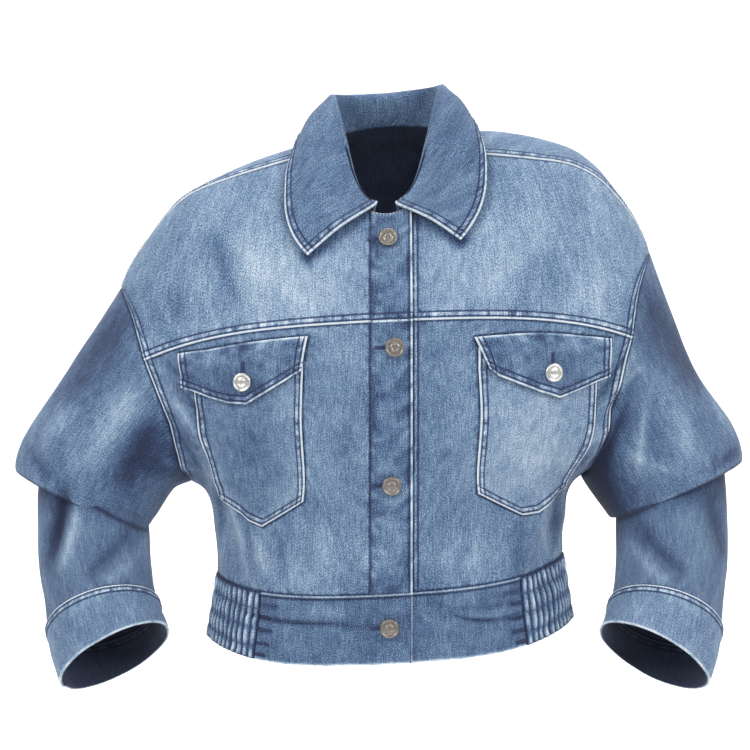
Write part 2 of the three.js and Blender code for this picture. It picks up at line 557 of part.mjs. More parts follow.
// A turned-up cuff, a little wider than the sleeve that it is sewn to.
function cuff(side) {
  const rings = spaced(0, CUFF_RINGS.length - 1, CUFF_ROWS);
  const face = (inwards) => {
    const table = CUFF_RINGS.map((row) => ({ ...row, wide: row.wide - inwards, deep: row.deep - inwards }));
    return rings.map((ring) => armAngles.map((angle) => armRing(table, ring, angle, side)));
  };
  return wall(`cuff_${sideName(side)}`, denim(1.02), face(0), face(CUFF_WALL), { closed: true });
}

// The seven points of the collar's profile at a turn: up the stand, over the fold and down the leaf.
function collarProfile(turn, side) {
  const end = abs(turnAt(COLLAR_END[sideName(side)], NECK));
  const share = (180 - turn) / (180 - end);
  const at = (key) => column(COLLAR, key, share * (COLLAR.length - 1));
  const roll = lerp(COLLAR_ROLL.back, COLLAR_ROLL.front, smooth(share));
  const [stand, lean] = [at("stand"), at("lean")];
  const seam = bodyForm(side * turn, NECK);
  const outward = vec(seam.x - BODY_RINGS[NECK].mid, seam.y, 0).normalize();
  const place = (up, out) => seam.clone().addScaledVector(outward, out).add(vec(0, 0, up));
  const edge = bodyForm(side * at("edgeTurn"), at("edgeRing"));
  edge.addScaledVector(bodyOut(side * at("edgeTurn"), at("edgeRing")), COLLAR_CLEAR);
  const over = place(stand - 1.1 * roll, 2.1 * roll - lean);
  const bulge = outward.clone().setZ(1).setLength(LEAF_BULGE);
  return [
    place(COLLAR_GAP, 0),
    place(stand * 0.5, -lean * 0.6),
    place(stand - roll, -lean),
    place(stand, 0.9 * roll - lean),
    over,
    over.clone().lerp(edge, 0.5).add(bulge),
    edge,
  ];
}

// The collar's form: across is degrees round from the front, down from 0 at the right front end through the
// back at -180; along counts the points of its profile.
function collarForm(across, along) {
  const left = across < -180;
  const profile = collarProfile(left ? 360 + across : -across, left ? 1 : -1);
  return vec(...["x", "y", "z"].map((axis) => column(profile, axis, along)));
}

// The collar's columns meet those of the yokes and the back at the neckline.
function collar() {
  const neckTurns = (grid) => grid[0].map((spot) => spot.turn);
  const left = neckTurns(yokes.left).filter((turn) => turn > turnAt(COLLAR_END.left, NECK) - 1e-6);
  const acrosses = [
    turnAt(COLLAR_END.right, NECK),
    ...neckTurns(yokes.right),
    ...[...left, ...neckTurns(back).slice(1, -1)].reverse().map((turn) => turn - 360),
  ];
  const outer = acrosses.map((across) => COLLAR_ROWS.map((along) => collarForm(across, along)));
  const edge = 0.03; // keeps the samples for the way out inside the collar's edges
  const [first, last] = [acrosses[0] - 1, acrosses.at(-1) + 1];
  const inner = acrosses.map((across, i) =>
    COLLAR_ROWS.map((along, j) => {
      const out = wayOut(collarForm, min(first, max(last, across)), min(6 - edge, max(edge, along)), 1, edge);
      if (j === 0) out.setZ(max(0, out.z)).normalize();
      return outer[i][j].clone().addScaledVector(out, DOUBLE);
    }),
  );
  return wall("collar", denim(0.92), outer, inner, { sewn: false });
}

// A pocket is laid on the front along the front's own points.
function pocket(side) {
  const name = sideName(side);
  const first = OPENING[name].length + INNER_COLUMNS[name] - 1;
  const grid = lowerFronts[name]
    .slice(POCKET_ROWS.first, POCKET_ROWS.last + 1)
    .map((row) => row.slice(first, first + POCKET.columns + 1));
  return wall(`pocket_${name}`, denim(1), laid(grid, LAID_ON + CLOTH), laid(grid, LAID_ON), { sewn: false });
}

// A point between the points of a face.
function facePoint(face, row, columnAt) {
  const [i, j] = [Math.floor(row), Math.floor(columnAt)];
  const along = (r) => face[r][j].clone().lerp(face[r][j + 1], columnAt - j);
  return along(i).lerp(along(i + 1), row - i);
}

// A flap is laid over the top of a pocket. Between its own side edges it keeps to the front's points.
function flap(side) {
  const name = sideName(side);
  const first = OPENING[name].length + INNER_COLUMNS[name] - 1;
  const last = FLAP_RISE.length - 1;
  const { innerTop, innerLow, outerTop, outerLow } = FLAP[name];
  const { tip, rest } = FRONT_LINES[name][2];
  const beside = (across, spot, up) => spotAt(side * across, bodyForm(spot.turn, spot.ring).z + up);
  const grid = lowerFronts[name].slice(FLAP_TOP_ROW, FLAP_TOP_ROW + last + 1).map((row, i) => {
    const over = row.slice(first, first + POCKET.columns + 1);
    const innerEdge = beside(lerp(innerTop, innerLow, i / last), over[0], 0);
    const rise = rest * tip * max(0, (i - 1) / 2);
    const outerEdge = beside(lerp(outerTop, outerLow, i / last), over.at(-1), rise);
    return [innerEdge, ...over.slice(1), outerEdge];
  });
  const face = (off) =>
    grid.map((row, i) => row.map((spot) => body(spot.turn, spot.ring, LAID_ON + FLAP_RISE[i] + off)));
  const top = face(DOUBLE);
  const at = facePoint(top, FLAP_BUTTON.row, FLAP_BUTTON.column[name]);
  const out = at.clone().sub(facePoint(face(0), FLAP_BUTTON.row, FLAP_BUTTON.column[name])).normalize();
  return [
    wall(`flap_${name}`, denim(0.92), top, face(0), { sewn: false }),
    button(`flap_button_${name}`, FLAP_BUTTON.radius, at, out),
  ];
}

// A shank button with a rimmed cap, standing at a point of the cloth along its way out.
function button(name, radius, at, out) {
  const profile = [
    { r: 0, h: 0 },
    { r: 0.34, h: 0 },
    { r: 0.34, h: 0.2 },
    { r: 0.95, h: 0.24 },
    { r: 1, h: 0.42 },
    { r: 0.88, h: 0.5 },
    { r: 0.76, h: 0.44 },
    { r: 0, h: 0.52 },
  ].map(({ r, h }) => new THREE.Vector2(r * radius, h * radius));
  const mesh = new THREE.Mesh(new THREE.LatheGeometry(profile, 14), new THREE.MeshStandardMaterial(METAL));
  mesh.quaternion.setFromUnitVectors(vec(0, 1, 0), out);
  mesh.position.copy(at).addScaledVector(out, LAID_ON);
  mesh.name = name;
  return mesh;
}

function frontButton({ across, z }, i) {
  const spot = spotAt(across, z);
  const at = body(spot.turn, spot.ring, LAID_ON + DOUBLE);
  return button(`button_${i + 1}`, BUTTON_RADIUS, at, bodyOut(spot.turn, spot.ring));
}

const jacket = new THREE.Group();
jacket.name = "denim_jacket";
for (const side of [-1, 1]) {
  jacket.add(...fronts(side), sleeve(side), cuff(side));
  jacket.add(elastic(side), pocket(side), ...flap(side));
}
jacket.add(backPanel(), placket(), ...waistband(), collar(), ...BUTTONS.map(frontButton));

export default jacket;
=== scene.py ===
import math
import bpy
import numpy as np
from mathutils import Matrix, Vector


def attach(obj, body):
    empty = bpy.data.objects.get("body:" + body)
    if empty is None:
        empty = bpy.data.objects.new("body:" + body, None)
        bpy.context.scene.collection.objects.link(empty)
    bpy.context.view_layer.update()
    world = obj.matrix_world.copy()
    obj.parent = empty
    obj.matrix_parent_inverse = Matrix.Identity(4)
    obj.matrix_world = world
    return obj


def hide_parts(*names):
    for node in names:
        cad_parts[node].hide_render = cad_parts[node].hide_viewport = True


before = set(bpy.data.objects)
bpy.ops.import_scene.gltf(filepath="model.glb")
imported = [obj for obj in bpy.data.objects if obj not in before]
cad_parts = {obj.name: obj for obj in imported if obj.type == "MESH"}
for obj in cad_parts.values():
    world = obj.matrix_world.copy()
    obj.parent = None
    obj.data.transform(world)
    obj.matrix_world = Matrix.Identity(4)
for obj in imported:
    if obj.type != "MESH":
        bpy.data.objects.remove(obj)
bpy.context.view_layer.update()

# A washed denim jacket, worn and hollow. Sizes are in millimetres, as in the model's source; MM takes them to
# metres. "Right" and "left" are the wearer's, and the front faces -Y.
MM = 0.001
UP = np.array([0.0, 0.0, 1.0])


def table(names, text):
    """Rows of numbers as dicts with the names of their columns; a line with a # is a heading."""
    lines = [line for line in text.strip().splitlines() if "#" not in line]
    rows = [row.split() for line in lines for row in line.split(";")]
    return [dict(zip(names.split(), map(float, row))) for row in rows]


# ---- The jacket's form: the same tables as in the model's source

CLOTH = 1.8
DOUBLE = 2.4
LAID_ON = 0.3

BODY_RINGS = table(
    "zFront zSide zBack half front back mid lift level",
    """
    -64 14 24 68 64 58 3 10 0
    -82 5 12 119 75 72 2 24 0
    -99 -9 -2 164 84 86 1 34 0
    -116 -27 -22 199 92 97 0 40 0
    -133 -60 -52 229 99 105 0 42 0.1
    -150 -119 -106 263 105 110 1 36 0.4
    -168 -222 -190 284 110 113 4 26 0.8
    -244 -300 -262 238 116 112 6 14 0.9
    -322 -334 -330 184 114 108 6 10 0.9
    -378 -374 -378 174 110 106 6 14 1
    -430 -413 -420 172 112 108 6 20 1
    -498 -475 -484 182 114 112 6 18 1
    """,
)
FLATNESS = 0.88
NECK = 0
SHOULDER_POINT = 5
YOKE_SEAM = 6
BAND_SEAM = 10
HEM = 11

ARMHOLE_STEPS = 12
YOKE_STEP = 5
ARMHOLE_HALF = (YOKE_SEAM - SHOULDER_POINT) / (1 - math.cos(YOKE_STEP * math.pi / ARMHOLE_STEPS))
ARMHOLE_MIDDLE = SHOULDER_POINT + ARMHOLE_HALF
ARMHOLE_BOTTOM = SHOULDER_POINT + 2 * ARMHOLE_HALF
ARMHOLE_REACH = {"front": 33, "back": 36}
ARMHOLE_SKEW = 0.15
SHOULDER_SEAM = {"right": (22, 1), "left": (32, 0.5)}

BODY_FOLDS = table(
    "fromTurn fromRing toTurn toRing width depth",
    """
    -78 7.9 -48 7.1 13 -5
    -84 8.4 -56 7.7 13 5
    -72 8.3 -64 9.6 15 -9
    -47 5.7 -30 4.3 20 -4
    80 8.1 54 6.9 14 5
    84 8.4 68 7.4 12 -4
    60 8.4 44 9.9 14 4
    74 8.6 60 9.9 13 -5
    44 5.8 26 4.2 18 -3
    -26 8.2 -30 9.8 16 -3
    22 8.4 25 9.8 16 -3
    218 7.4 210 9.8 20 -7
    140 7.2 149 9.8 20 -7
    180 7.9 184 9.8 24 5
    236 7.6 212 5.4 20 5
    124 7.6 148 5.4 20 5
    """,
)

SLEEVE_RINGS = table(
    "out depth z tilt lean wide deep tuck",
    """
    258 2 -277 46 -6 79 66 0
    288 4 -322 31 -4 77 67 0
    297 6 -342 25 0 73 65 -2
    297 5 -346 23 4 67 60 3
    296 2 -352 20 8 62 57 24
    294 -1 -358 16 12 57 53 28
    289 -14 -378 5 24 56 52 12
    285 -38 -410 -8 32 55 51 0
    279 -64 -436 -15 36 54 51 0
    274 -84 -456 -20 37 55 51 0
    """,
)
CUFF_RINGS = table(
    "out depth z tilt lean wide deep tuck",
    """
    273.8 -84.4 -456.4 -20 37 57 53 0
    267 -102 -474 -25 33 58 53 0
    259 -119 -489 -31 28 58.5 52 0
    """,
)
ARMHOLE_RING = -1
CUFF_WALL = 3.2
CUFF_LAP = -0.08  # the ring where it starts, over the sleeve's end
TUCK = {"turn": 80, "least": 0.08, "spread": 0.7}
ARM_SHIFT = {"right": {"near": -7, "up": -5}, "left": {"near": 5, "up": 7}}

FRONT_MIDDLE = 6
PLACKET = {"right": -19, "left": 21}
UNDERLAP = -15
PLACKET_TOP = 0.12
BUTTONS = [(-2, -90), (4, -193), (1, -325), (-1, -463)]
BUTTON_RADIUS = 9.4

RIGHT_LINES = table(
    "z slope bow tip tipAt rest outer",
    """
    -182 -0.16 2 0 0.5 0 196
    -192 -0.16 2 0 0.5 0 194
    -215 -0.16 0 26 0.54 0.19 190
    -342 0 0 29 0.55 0 164
    """,
)
LEFT_LINES = table(
    "z slope bow tip tipAt rest outer",
    """
    -183 -0.02 5 0 0.5 0 206
    -193 -0.02 5 0 0.5 0 204
    -213 -0.07 0 24 0.65 0.2 200
    -334 0 0 27 0.58 0 171
    """,
)
FRONT_LINES = {"right": RIGHT_LINES, "left": LEFT_LINES}
POCKET_INNER = 84
POCKET_COLUMNS = 6
FLAP = {
    "right": {"innerTop": 79, "innerLow": 85, "outerTop": 206, "outerLow": 201},
    "left": {"innerTop": 80, "innerLow": 94, "outerTop": 214, "outerLow": 211},
}
FLAP_RISE = [0.2, 2.6, 3.2, 4.2]
FLAP_ROWS = len(FLAP_RISE) - 1
FLAP_BUTTON = {"radius": 9, "row": 2.15, "column": {"right": 3.1, "left": 3.5}}
ELASTIC = {"from": 47, "to": 130, "pleats": 26, "channels": 4}

COLLAR = table(
    "stand lean edgeTurn edgeRing",
    """
    32 10 180 1.3
    34 11 159 1.2
    38 12 138 0.95
    42 13 117 0.65
    43 15 95 0.42
    34 18 72 0.58
    20 18 53 1.08
    10.5 11 38 1.8
    7.5 2.5 22.5 2.8
    """,
)
COLLAR_END = {"right": -15, "left": 6.6}
COLLAR_ROLL = {"back": 3.2, "front": 2.4}
COLLAR_CLEAR = 3.8
COLLAR_GAP = -0.8
LEAF_BULGE = 4.5
COLLAR_ROWS = 6  # from the seam up the stand, over the fold and down the leaf to its edge


def curve(a, b, c, d, t):
    return b + 0.5 * t * (c - a + t * (2 * a - 5 * b + 4 * c - d + t * (3 * (b - c) + d - a)))


def column(rows, key, at):
    """A table's column between its rows, on a smooth curve through them."""
    values = np.array([row[key] for row in rows])
    at = np.asarray(at, float)
    last = len(values) - 1
    i = np.clip(np.floor(at).astype(int), 0, last - 1)
    knots = [values[np.clip(i + k, 0, last)] for k in (-1, 0, 1, 2)]
    return curve(*knots, at - i)


def row_at(rows, at):
    """All the columns of a table at a place between its rows."""
    return {key: column(rows, key, at) for key in rows[0]}


def smooth(t):
    t = np.clip(t, 0, 1)
    return t * t * (3 - 2 * t)


def fall(value, start, width):
    """1 up to a value, 0 beyond a width from it, and smooth between them."""
    return 1 - smooth((value - start) / width)


def hump(value, at, width):
    """1 at a value and falling off on both its sides."""
    return np.exp(-(((value - at) / width) ** 2))


def lerp(a, b, t):
    return a + (b - a) * t


def stack(*parts):
    return np.stack(np.broadcast_arrays(*parts), -1)


def floats(*values):
    return np.broadcast_arrays(*(np.asarray(value, float) for value in values))


def grid(rows, columns):
    return np.broadcast_arrays(np.asarray(rows)[:, None], np.asarray(columns)[None, :])


def place_of(values, value):
    """The number of the value that is nearest to one."""
    return int(np.argmin(np.abs(values - value)))


def unit(vectors):
    return vectors / np.maximum(np.linalg.norm(vectors, axis=-1, keepdims=True), 1e-9)


def body_form(turn, ring):
    s, c = np.sin(np.radians(turn)), np.cos(np.radians(turn))
    at = row_at(BODY_RINGS, ring)
    z_end = np.where(c > 0, at["zFront"], at["zBack"])
    depth = np.where(c > 0, at["front"], at["back"])
    return stack(
        at["mid"] + at["half"] * s,
        -np.sign(c) * depth * np.abs(c) ** FLATNESS,
        at["zSide"] + (z_end - at["zSide"]) * c * c * (1 + at["level"] * s * s) + at["lift"] / 2 * s,
    )


def way_out(surface, a, b, step_a, step_b):
    along_a = surface(a + step_a, b) - surface(a - step_a, b)
    along_b = surface(a, b + step_b) - surface(a, b - step_b)
    return unit(np.cross(along_b, along_a))


def lengths(points, axis):
    """The distance of each point of a grid from its first edge, along one of its ways."""
    steps = np.linalg.norm(np.diff(points, axis=axis), axis=-1)
    pad = [(0, 0), (0, 0)]
    pad[axis] = (1, 0)
    return np.pad(np.cumsum(steps, axis=axis), pad)


BODY_NUDGE = 0.02  # rings to each side of a point, where its way out is measured
NUDGE = 0.03  # the same on sleeves and collar
DROP_STEP = {"turn": 5, "ring": 0.05}
DROPS = lengths(
    body_form(
        np.arange(-180, 366, DROP_STEP["turn"])[None, :],
        np.arange(NECK, HEM + DROP_STEP["ring"] / 2, DROP_STEP["ring"])[:, None],
    ),
    0,
)


def drop(turn, ring):
    """The length of cloth from the neckline down to a ring at a turn."""
    row = np.clip(ring / DROP_STEP["ring"], 0, DROPS.shape[0] - 1.001)
    at = (turn + 180) / DROP_STEP["turn"]
    i, j = np.floor(row).astype(int), np.floor(at).astype(int)
    s, t = row - i, at - j
    upper = lerp(DROPS[i, j], DROPS[i, j + 1], t)
    return lerp(upper, lerp(DROPS[i + 1, j], DROPS[i + 1, j + 1], t), s)


def body_out(turn, ring):
    return way_out(body_form, turn, np.clip(ring, BODY_NUDGE, HEM - BODY_NUDGE), 0.5, BODY_NUDGE)


def big_folds(point, ring):
    """How far the large folds move points of the body outwards."""
    total = np.zeros(point.shape[:-1])
    for fold in BODY_FOLDS:
        start = body_form(fold["fromTurn"], fold["fromRing"])
        line = body_form(fold["toTurn"], fold["toRing"]) - start
        along = np.clip((point - start) @ line / (line @ line), 0, 1)
        away = np.linalg.norm(point - start - along[..., None] * line, axis=-1)
        taper = np.sqrt(np.sin(math.pi * lerp(0.04, 0.96, along)))
        total += fold["depth"] * hump(away, 0, fold["width"]) * taper
    return total * smooth(ring / 2) * smooth((BAND_SEAM + 0.6 - ring) / 0.7)


# ---- Creases, seen from the front or the back: a bent line from (x1, z1) by (x2, z2) to (x3, z3)

FRONT_CREASES = table(
    "x1 z1 x2 z2 x3 z3 width depth",
    """
    # right yoke and chest
    -175 -80 -150 -118 -142 -160 15 -2.3
    -205 -118 -196 -150 -203 -178 9 -1.7
    -225 -200 -196 -222 -168 -236 6 -2.3
    -214 -232 -190 -262 -166 -300 5 2.2
    -205 -226 -184 -250 -170 -268 4 -1.9
    -196 -282 -178 -306 -163 -336 6 2.6
    -182 -272 -172 -300 -158 -318 4 -1.7
    # right waist
    -153 -330 -150 -366 -132 -402 7 3.2
    -139 -352 -133 -380 -128 -420 4 -2.3
    -124 -378 -119 -398 -117 -424 3.5 1.7
    -104 -366 -98 -398 -99 -426 5 -1.3
    -62 -352 -58 -392 -61 -426 8 1.2
    -38 -240 -34 -300 -37 -360 10 -1.2
    # left yoke and chest
    172 -72 158 -110 164 -160 14 -1.9
    204 -106 212 -140 208 -178 8 1.7
    214 -256 232 -228 246 -196 5.5 3.8
    206 -250 222 -224 236 -200 4 -3.2
    210 -276 226 -248 243 -222 5 -3.5
    196 -300 208 -276 226 -258 6 2.3
    190 -318 198 -300 210 -284 4 -2.0
    # left waist
    176 -322 168 -358 171 -392 6 -2.9
    160 -336 155 -368 160 -402 5 2.0
    136 -356 128 -392 131 -424 6 -1.4
    92 -362 86 -398 88 -428 7 1.3
    58 -236 54 -300 57 -372 10 -1.0
    # folds beside the armpits
    -206 -248 -174 -288 -160 -322 5 2.6
    -214 -262 -196 -286 -176 -318 5 -2.6
    -166 -330 -158 -352 -166 -392 4 -2.4
    254 -212 236 -222 230 -246 3.5 3
    232 -240 222 -268 200 -312 4 2.6
    238 -246 226 -280 208 -316 5 -3.2
    256 -240 253 -280 246 -326 4 3.6
    # waistband, pressed below its seam
    -138 -452 -112 -464 -40 -459 2 -4.4
    -64 -460 -34 -464 0 -460 2.2 -1.4
    28 -446 50 -462 78 -468 2.2 1.4
    60 -448 92 -466 138 -452 2 -4
    42 -436 58 -446 84 -446 3 -1.4
    84 -446 104 -446 128 -440 2.6 -1.7
    40 -442 52 -456 66 -464 2.6 1.2
    60 -452 96 -458 124 -450 5 1.0
    -110 -434 -70 -442 -24 -436 3.5 -1.3
    -96 -446 -60 -452 -30 -450 5 0.9
    -60 -462 -34 -474 -14 -476 4 0.7
    # right sleeve
    -252 -150 -284 -206 -322 -262 22 -3.5
    -236 -236 -268 -272 -292 -322 18 3.8
    -228 -276 -252 -306 -258 -342 12 -4.9
    -222 -302 -206 -312 -190 -314 6 3.5
    -300 -246 -322 -276 -344 -296 12 2.6
    -352 -296 -340 -312 -316 -330 6 -2.3
    -312 -332 -318 -366 -326 -406 8 -7.2
    -300 -340 -304 -374 -314 -412 7 4.3
    -248 -372 -262 -394 -290 -412 7 -2.6
    -236 -392 -252 -412 -276 -420 6 2.3
    # left sleeve
    246 -132 282 -188 326 -250 22 -3.2
    262 -206 292 -250 306 -316 18 2.4
    312 -236 334 -262 352 -288 12 2.6
    236 -296 256 -312 292 -318 7 2.3
    322 -314 338 -304 352 -296 5 -2.6
    318 -336 326 -370 336 -408 9 -3.5
    250 -366 262 -392 290 -410 8 -3.2
    240 -384 256 -410 280 -424 6 2.6
    """,
)
BACK_CREASES = table(
    "x1 z1 x2 z2 x3 z3 width depth",
    """
    -60 -30 -84 -90 -86 -160 18 -2.0
    66 -24 88 -86 84 -150 18 -2.0
    -208 -170 -176 -214 -160 -262 12 -2.9
    206 -160 180 -206 158 -256 12 -2.9
    -188 -236 -160 -276 -150 -322 9 3.2
    186 -226 158 -272 146 -318 9 3.2
    -120 -300 -112 -360 -116 -416 10 -2.6
    118 -296 110 -352 114 -412 10 -2.6
    -42 -306 -36 -360 -40 -418 9 2.0
    34 -318 40 -366 36 -416 9 1.7
    -150 -346 -142 -382 -146 -414 6 2.6
    150 -340 144 -378 148 -408 6 2.6
    -110 -430 -40 -440 30 -434 5 -1.3
    20 -446 70 -452 120 -444 5 1.0
    -250 -150 -286 -212 -318 -268 20 -3.5
    248 -138 284 -200 322 -256 20 -3.5
    -232 -246 -262 -286 -300 -318 14 3.8
    234 -236 266 -280 304 -306 14 3.8
    -240 -370 -266 -392 -300 -402 9 -3.2
    244 -364 270 -388 304 -396 9 -3.2
    -254 -402 -276 -420 -304 -428 7 2.6
    256 -398 280 -416 306 -424 7 2.6
    """,
)
CREASES = {"front": FRONT_CREASES, "back": BACK_CREASES}
CREASE_STEPS = 8


def crease_relief(point, out):
    """How far the creases move points along their way out: those of the front by how much they face it."""
    total = np.zeros(point.shape[:-1])
    flat = point[..., [0, 2]]
    facing = {"front": smooth(0.15 - out[..., 1] * 1.6), "back": smooth(0.15 + out[..., 1] * 1.6)}
    for side, row in ((side, row) for side, rows in CREASES.items() for row in rows):
        ends = [np.array([row[f"x{k}"], row[f"z{k}"]]) for k in (1, 2, 3)]
        reach = 3 * row["width"]
        low, high = np.min(ends, axis=0) - reach, np.max(ends, axis=0) + reach
        near = np.all((flat > low) & (flat < high), axis=-1) & (facing[side] > 0)
        if not near.any():
            continue
        here = flat[near]
        best = np.full(len(here), 1e9)
        share = np.zeros(len(here))
        for k in range(CREASE_STEPS):
            t = np.array([k, k + 1]) / CREASE_STEPS
            a, b = (lerp(lerp(ends[0], ends[1], s), lerp(ends[1], ends[2], s), s) for s in t)
            along = np.clip((here - a) @ (b - a) / ((b - a) @ (b - a)), 0, 1)
            away = np.linalg.norm(here - a - along[:, None] * (b - a), axis=1)
            closer = away < best
            best = np.where(closer, away, best)
            share = np.where(closer, (k + along) / CREASE_STEPS, share)
        taper = np.sin(math.pi * lerp(0.03, 0.97, share)) ** 0.7
        height = row["depth"] * np.exp(-((best / row["width"]) ** 1.6)) * taper
        total[near] += height * facing[side][near]
    return total


NOISE = np.random.default_rng(17).random((64, 64)) * 2 - 1


def wander(x, y):
    """Smooth noise from -1 to 1 that repeats every 64 steps."""
    i, j = np.floor(x).astype(int), np.floor(y).astype(int)
    s, t = smooth(x - i), smooth(y - j)
    at = lambda a, b: NOISE[a % 64, b % 64]
    return lerp(lerp(at(i, j), at(i + 1, j), s), lerp(at(i, j + 1), at(i + 1, j + 1), s), t)


def body(turn, ring, off=0.0):
    """The worn body with its folds and creases, moved out by off."""
    point = body_form(turn, ring)
    out = body_out(turn, ring)
    rise = big_folds(point, ring) + crease_relief(point, out)
    return point + out * (rise + off)[..., None]


def turn_at(across, ring):
    share = (FRONT_MIDDLE + across - column(BODY_RINGS, "mid", ring)) / column(BODY_RINGS, "half", ring)
    return np.degrees(np.arcsin(np.clip(share, -1, 1)))


def spot_at(across, z):
    """The turn and ring of the front's spot at a height, across millimetres beside its middle line."""
    across, z = floats(across, z)
    high, low = np.full(z.shape, float(NECK)), np.full(z.shape, float(HEM))
    for _ in range(30):
        ring = (high + low) / 2
        above = body_form(turn_at(across, ring), ring)[..., 2] > z
        high, low = np.where(above, ring, high), np.where(above, low, ring)
    return turn_at(across, high), high


def armhole_turn(ring, front):
    at = (ring - ARMHOLE_MIDDLE) / ARMHOLE_HALF
    reach = np.sqrt(np.maximum(0, 1 - at * at)) * (1 - ARMHOLE_SKEW * at)
    return 90 + np.where(front, -ARMHOLE_REACH["front"], ARMHOLE_REACH["back"]) * reach


def armhole_edge(angle, side):
    ring = ARMHOLE_MIDDLE - ARMHOLE_HALF * np.cos(np.radians(angle))
    return body(side * armhole_turn(ring, np.sin(np.radians(angle)) >= 0), ring)


def side_name(side):
    return "right" if side < 0 else "left"


def seam_turn(ring, front, side):
    """The turn of a panel's outer edge: shoulder seam, then armhole, then side seam."""
    forward, fade = SHOULDER_SEAM[side_name(side)]
    shoulder = 90 - forward * smooth((SHOULDER_POINT - ring) / SHOULDER_POINT) ** fade
    armhole = armhole_turn(np.clip(ring, SHOULDER_POINT, ARMHOLE_BOTTOM), front)
    return np.where(ring >= ARMHOLE_BOTTOM, 90, np.where(ring >= SHOULDER_POINT, armhole, shoulder))


def arm_ring(rows, ring, angle, side):
    """A point on a sleeve's ring. angle is 0 on the outer side, 90 at the front, 180 next to the body."""
    at = row_at(rows, ring)
    tilt, lean = np.radians(at["tilt"]), np.radians(at["lean"])
    fade = smooth(1 - ring / (len(SLEEVE_RINGS) - 1)) if rows is SLEEVE_RINGS else np.zeros_like(ring)
    shift = ARM_SHIFT[side_name(side)]
    nil = np.zeros_like(tilt)
    outward = stack(side * np.cos(tilt), nil, np.sin(tilt))
    down = stack(side * np.sin(tilt), nil, -np.cos(tilt))
    level = stack(nil, -np.cos(lean), nil)
    facing = level - down * np.sin(lean)[..., None]
    along = stack(nil, -np.sin(lean), nil) + down * np.cos(lean)[..., None]
    frontness = (0.5 + 0.5 * np.cos(np.radians(angle - TUCK["turn"]))) ** TUCK["spread"]
    middle = stack(side * (at["out"] - shift["near"] * fade), at["depth"], at["z"] + shift["up"] * fade)
    turn = np.radians(angle)
    return (
        middle
        + outward * (at["wide"] * np.cos(turn))[..., None]
        + facing * (at["deep"] * np.sin(turn))[..., None]
        - along * (at["tuck"] * lerp(TUCK["least"], 1, frontness))[..., None]
    )


def sleeve_form(angle, ring, side):
    """The sleeve from the armhole, ring -1, to the cuff's seam."""
    angle, ring = floats(angle, ring)
    edge = armhole_edge(angle[:1], side) + np.zeros(ring.shape + (1,))
    rings = [arm_ring(SLEEVE_RINGS, np.full_like(ring, k), angle, side) for k in (0, 1, 2)]
    step, onward = rings[0] - edge, rings[1] - rings[0]
    length = np.linalg.norm(step, axis=-1) / np.linalg.norm(onward, axis=-1)
    after = rings[0] + onward * np.minimum(1, length)[..., None]
    first = curve(edge - step, edge, rings[0], after, (ring + 1)[..., None])
    second = curve(edge, *rings, ring[..., None])
    lower = arm_ring(SLEEVE_RINGS, np.maximum(ring, 1), angle, side)
    return np.where(ring[..., None] < 0, first, np.where(ring[..., None] < 1, second, lower))


def collar_profile(turn, side):
    """The seven points of the collar's profile at a turn: up the stand, over the fold and down the leaf."""
    end = abs(float(turn_at(COLLAR_END[side_name(side)], NECK)))
    share = (180 - turn) / (180 - end)
    at = row_at(COLLAR, share * (len(COLLAR) - 1))
    roll = lerp(COLLAR_ROLL["back"], COLLAR_ROLL["front"], smooth(share))
    seam = body_form(side * turn, np.zeros_like(turn))
    level = stack(seam[..., 0] - BODY_RINGS[NECK]["mid"], seam[..., 1], 0 * turn)
    outward = unit(level)
    place = lambda rise, out: seam + outward * np.asarray(out)[..., None] + UP * np.asarray(rise)[..., None]
    edge = body_form(side * at["edgeTurn"], at["edgeRing"])
    edge = edge + COLLAR_CLEAR * body_out(side * at["edgeTurn"], at["edgeRing"])
    over = place(at["stand"] - 1.1 * roll, 2.1 * roll - at["lean"])
    bulge = unit(outward + UP) * LEAF_BULGE
    return [
        place(COLLAR_GAP + 0 * turn, 0 * turn),
        place(at["stand"] * 0.5, -at["lean"] * 0.6),
        place(at["stand"] - roll, -at["lean"]),
        place(at["stand"], 0.9 * roll - at["lean"]),
        over,
        lerp(over, edge, 0.5) + bulge,
        edge,
    ]


def collar_form(across, along):
    """across is degrees from 0 at the front by -180 at the back, along 0 to COLLAR_ROWS from seam to edge."""
    across, along = floats(across, along)
    left = across < -180
    profiles = {-1: collar_profile(-across, -1), 1: collar_profile(360 + across, 1)}
    points = np.where(left[..., None], np.stack(profiles[1]), np.stack(profiles[-1]))
    i = np.clip(np.floor(along).astype(int), 0, COLLAR_ROWS - 1)
    pick = lambda k: np.take_along_axis(points, np.clip(i + k, 0, COLLAR_ROWS)[None, ..., None], 0)[0]
    return curve(pick(-1), pick(0), pick(1), pick(2), (along - i)[..., None])


# ---- Shader maths


def maths(operation):
    """A method that makes one maths node of a field and what it is given."""

    def method(self, *others):
        values = dict(enumerate((self, *others)))
        return self.paint.node("ShaderNodeMath", {"operation": operation}, values)

    return method


class Field:
    """One value or colour in a material, so that shader maths is written as an expression."""

    __add__ = __radd__ = maths("ADD")
    __sub__ = maths("SUBTRACT")
    __mul__ = __rmul__ = maths("MULTIPLY")
    sin = maths("SINE")
    size = maths("ABSOLUTE")
    most = maths("MAXIMUM")

    def __init__(self, paint, socket):
        self.paint, self.socket = paint, socket

    def __rsub__(self, other):
        return (self * -1) + other

    def rise(self, low, high):
        """0 below low, 1 above high, and smooth between them."""
        values = {"Value": self, "From Min": low, "From Max": high}
        return self.paint.node("ShaderNodeMapRange", {"interpolation_type": "SMOOTHSTEP"}, values)

    def fall(self, low, high):
        return 1 - self.rise(low, high)

    def line(self, at, width):
        """1 at a value and 0 beyond a width from it."""
        return (self - at).size().fall(0, width)


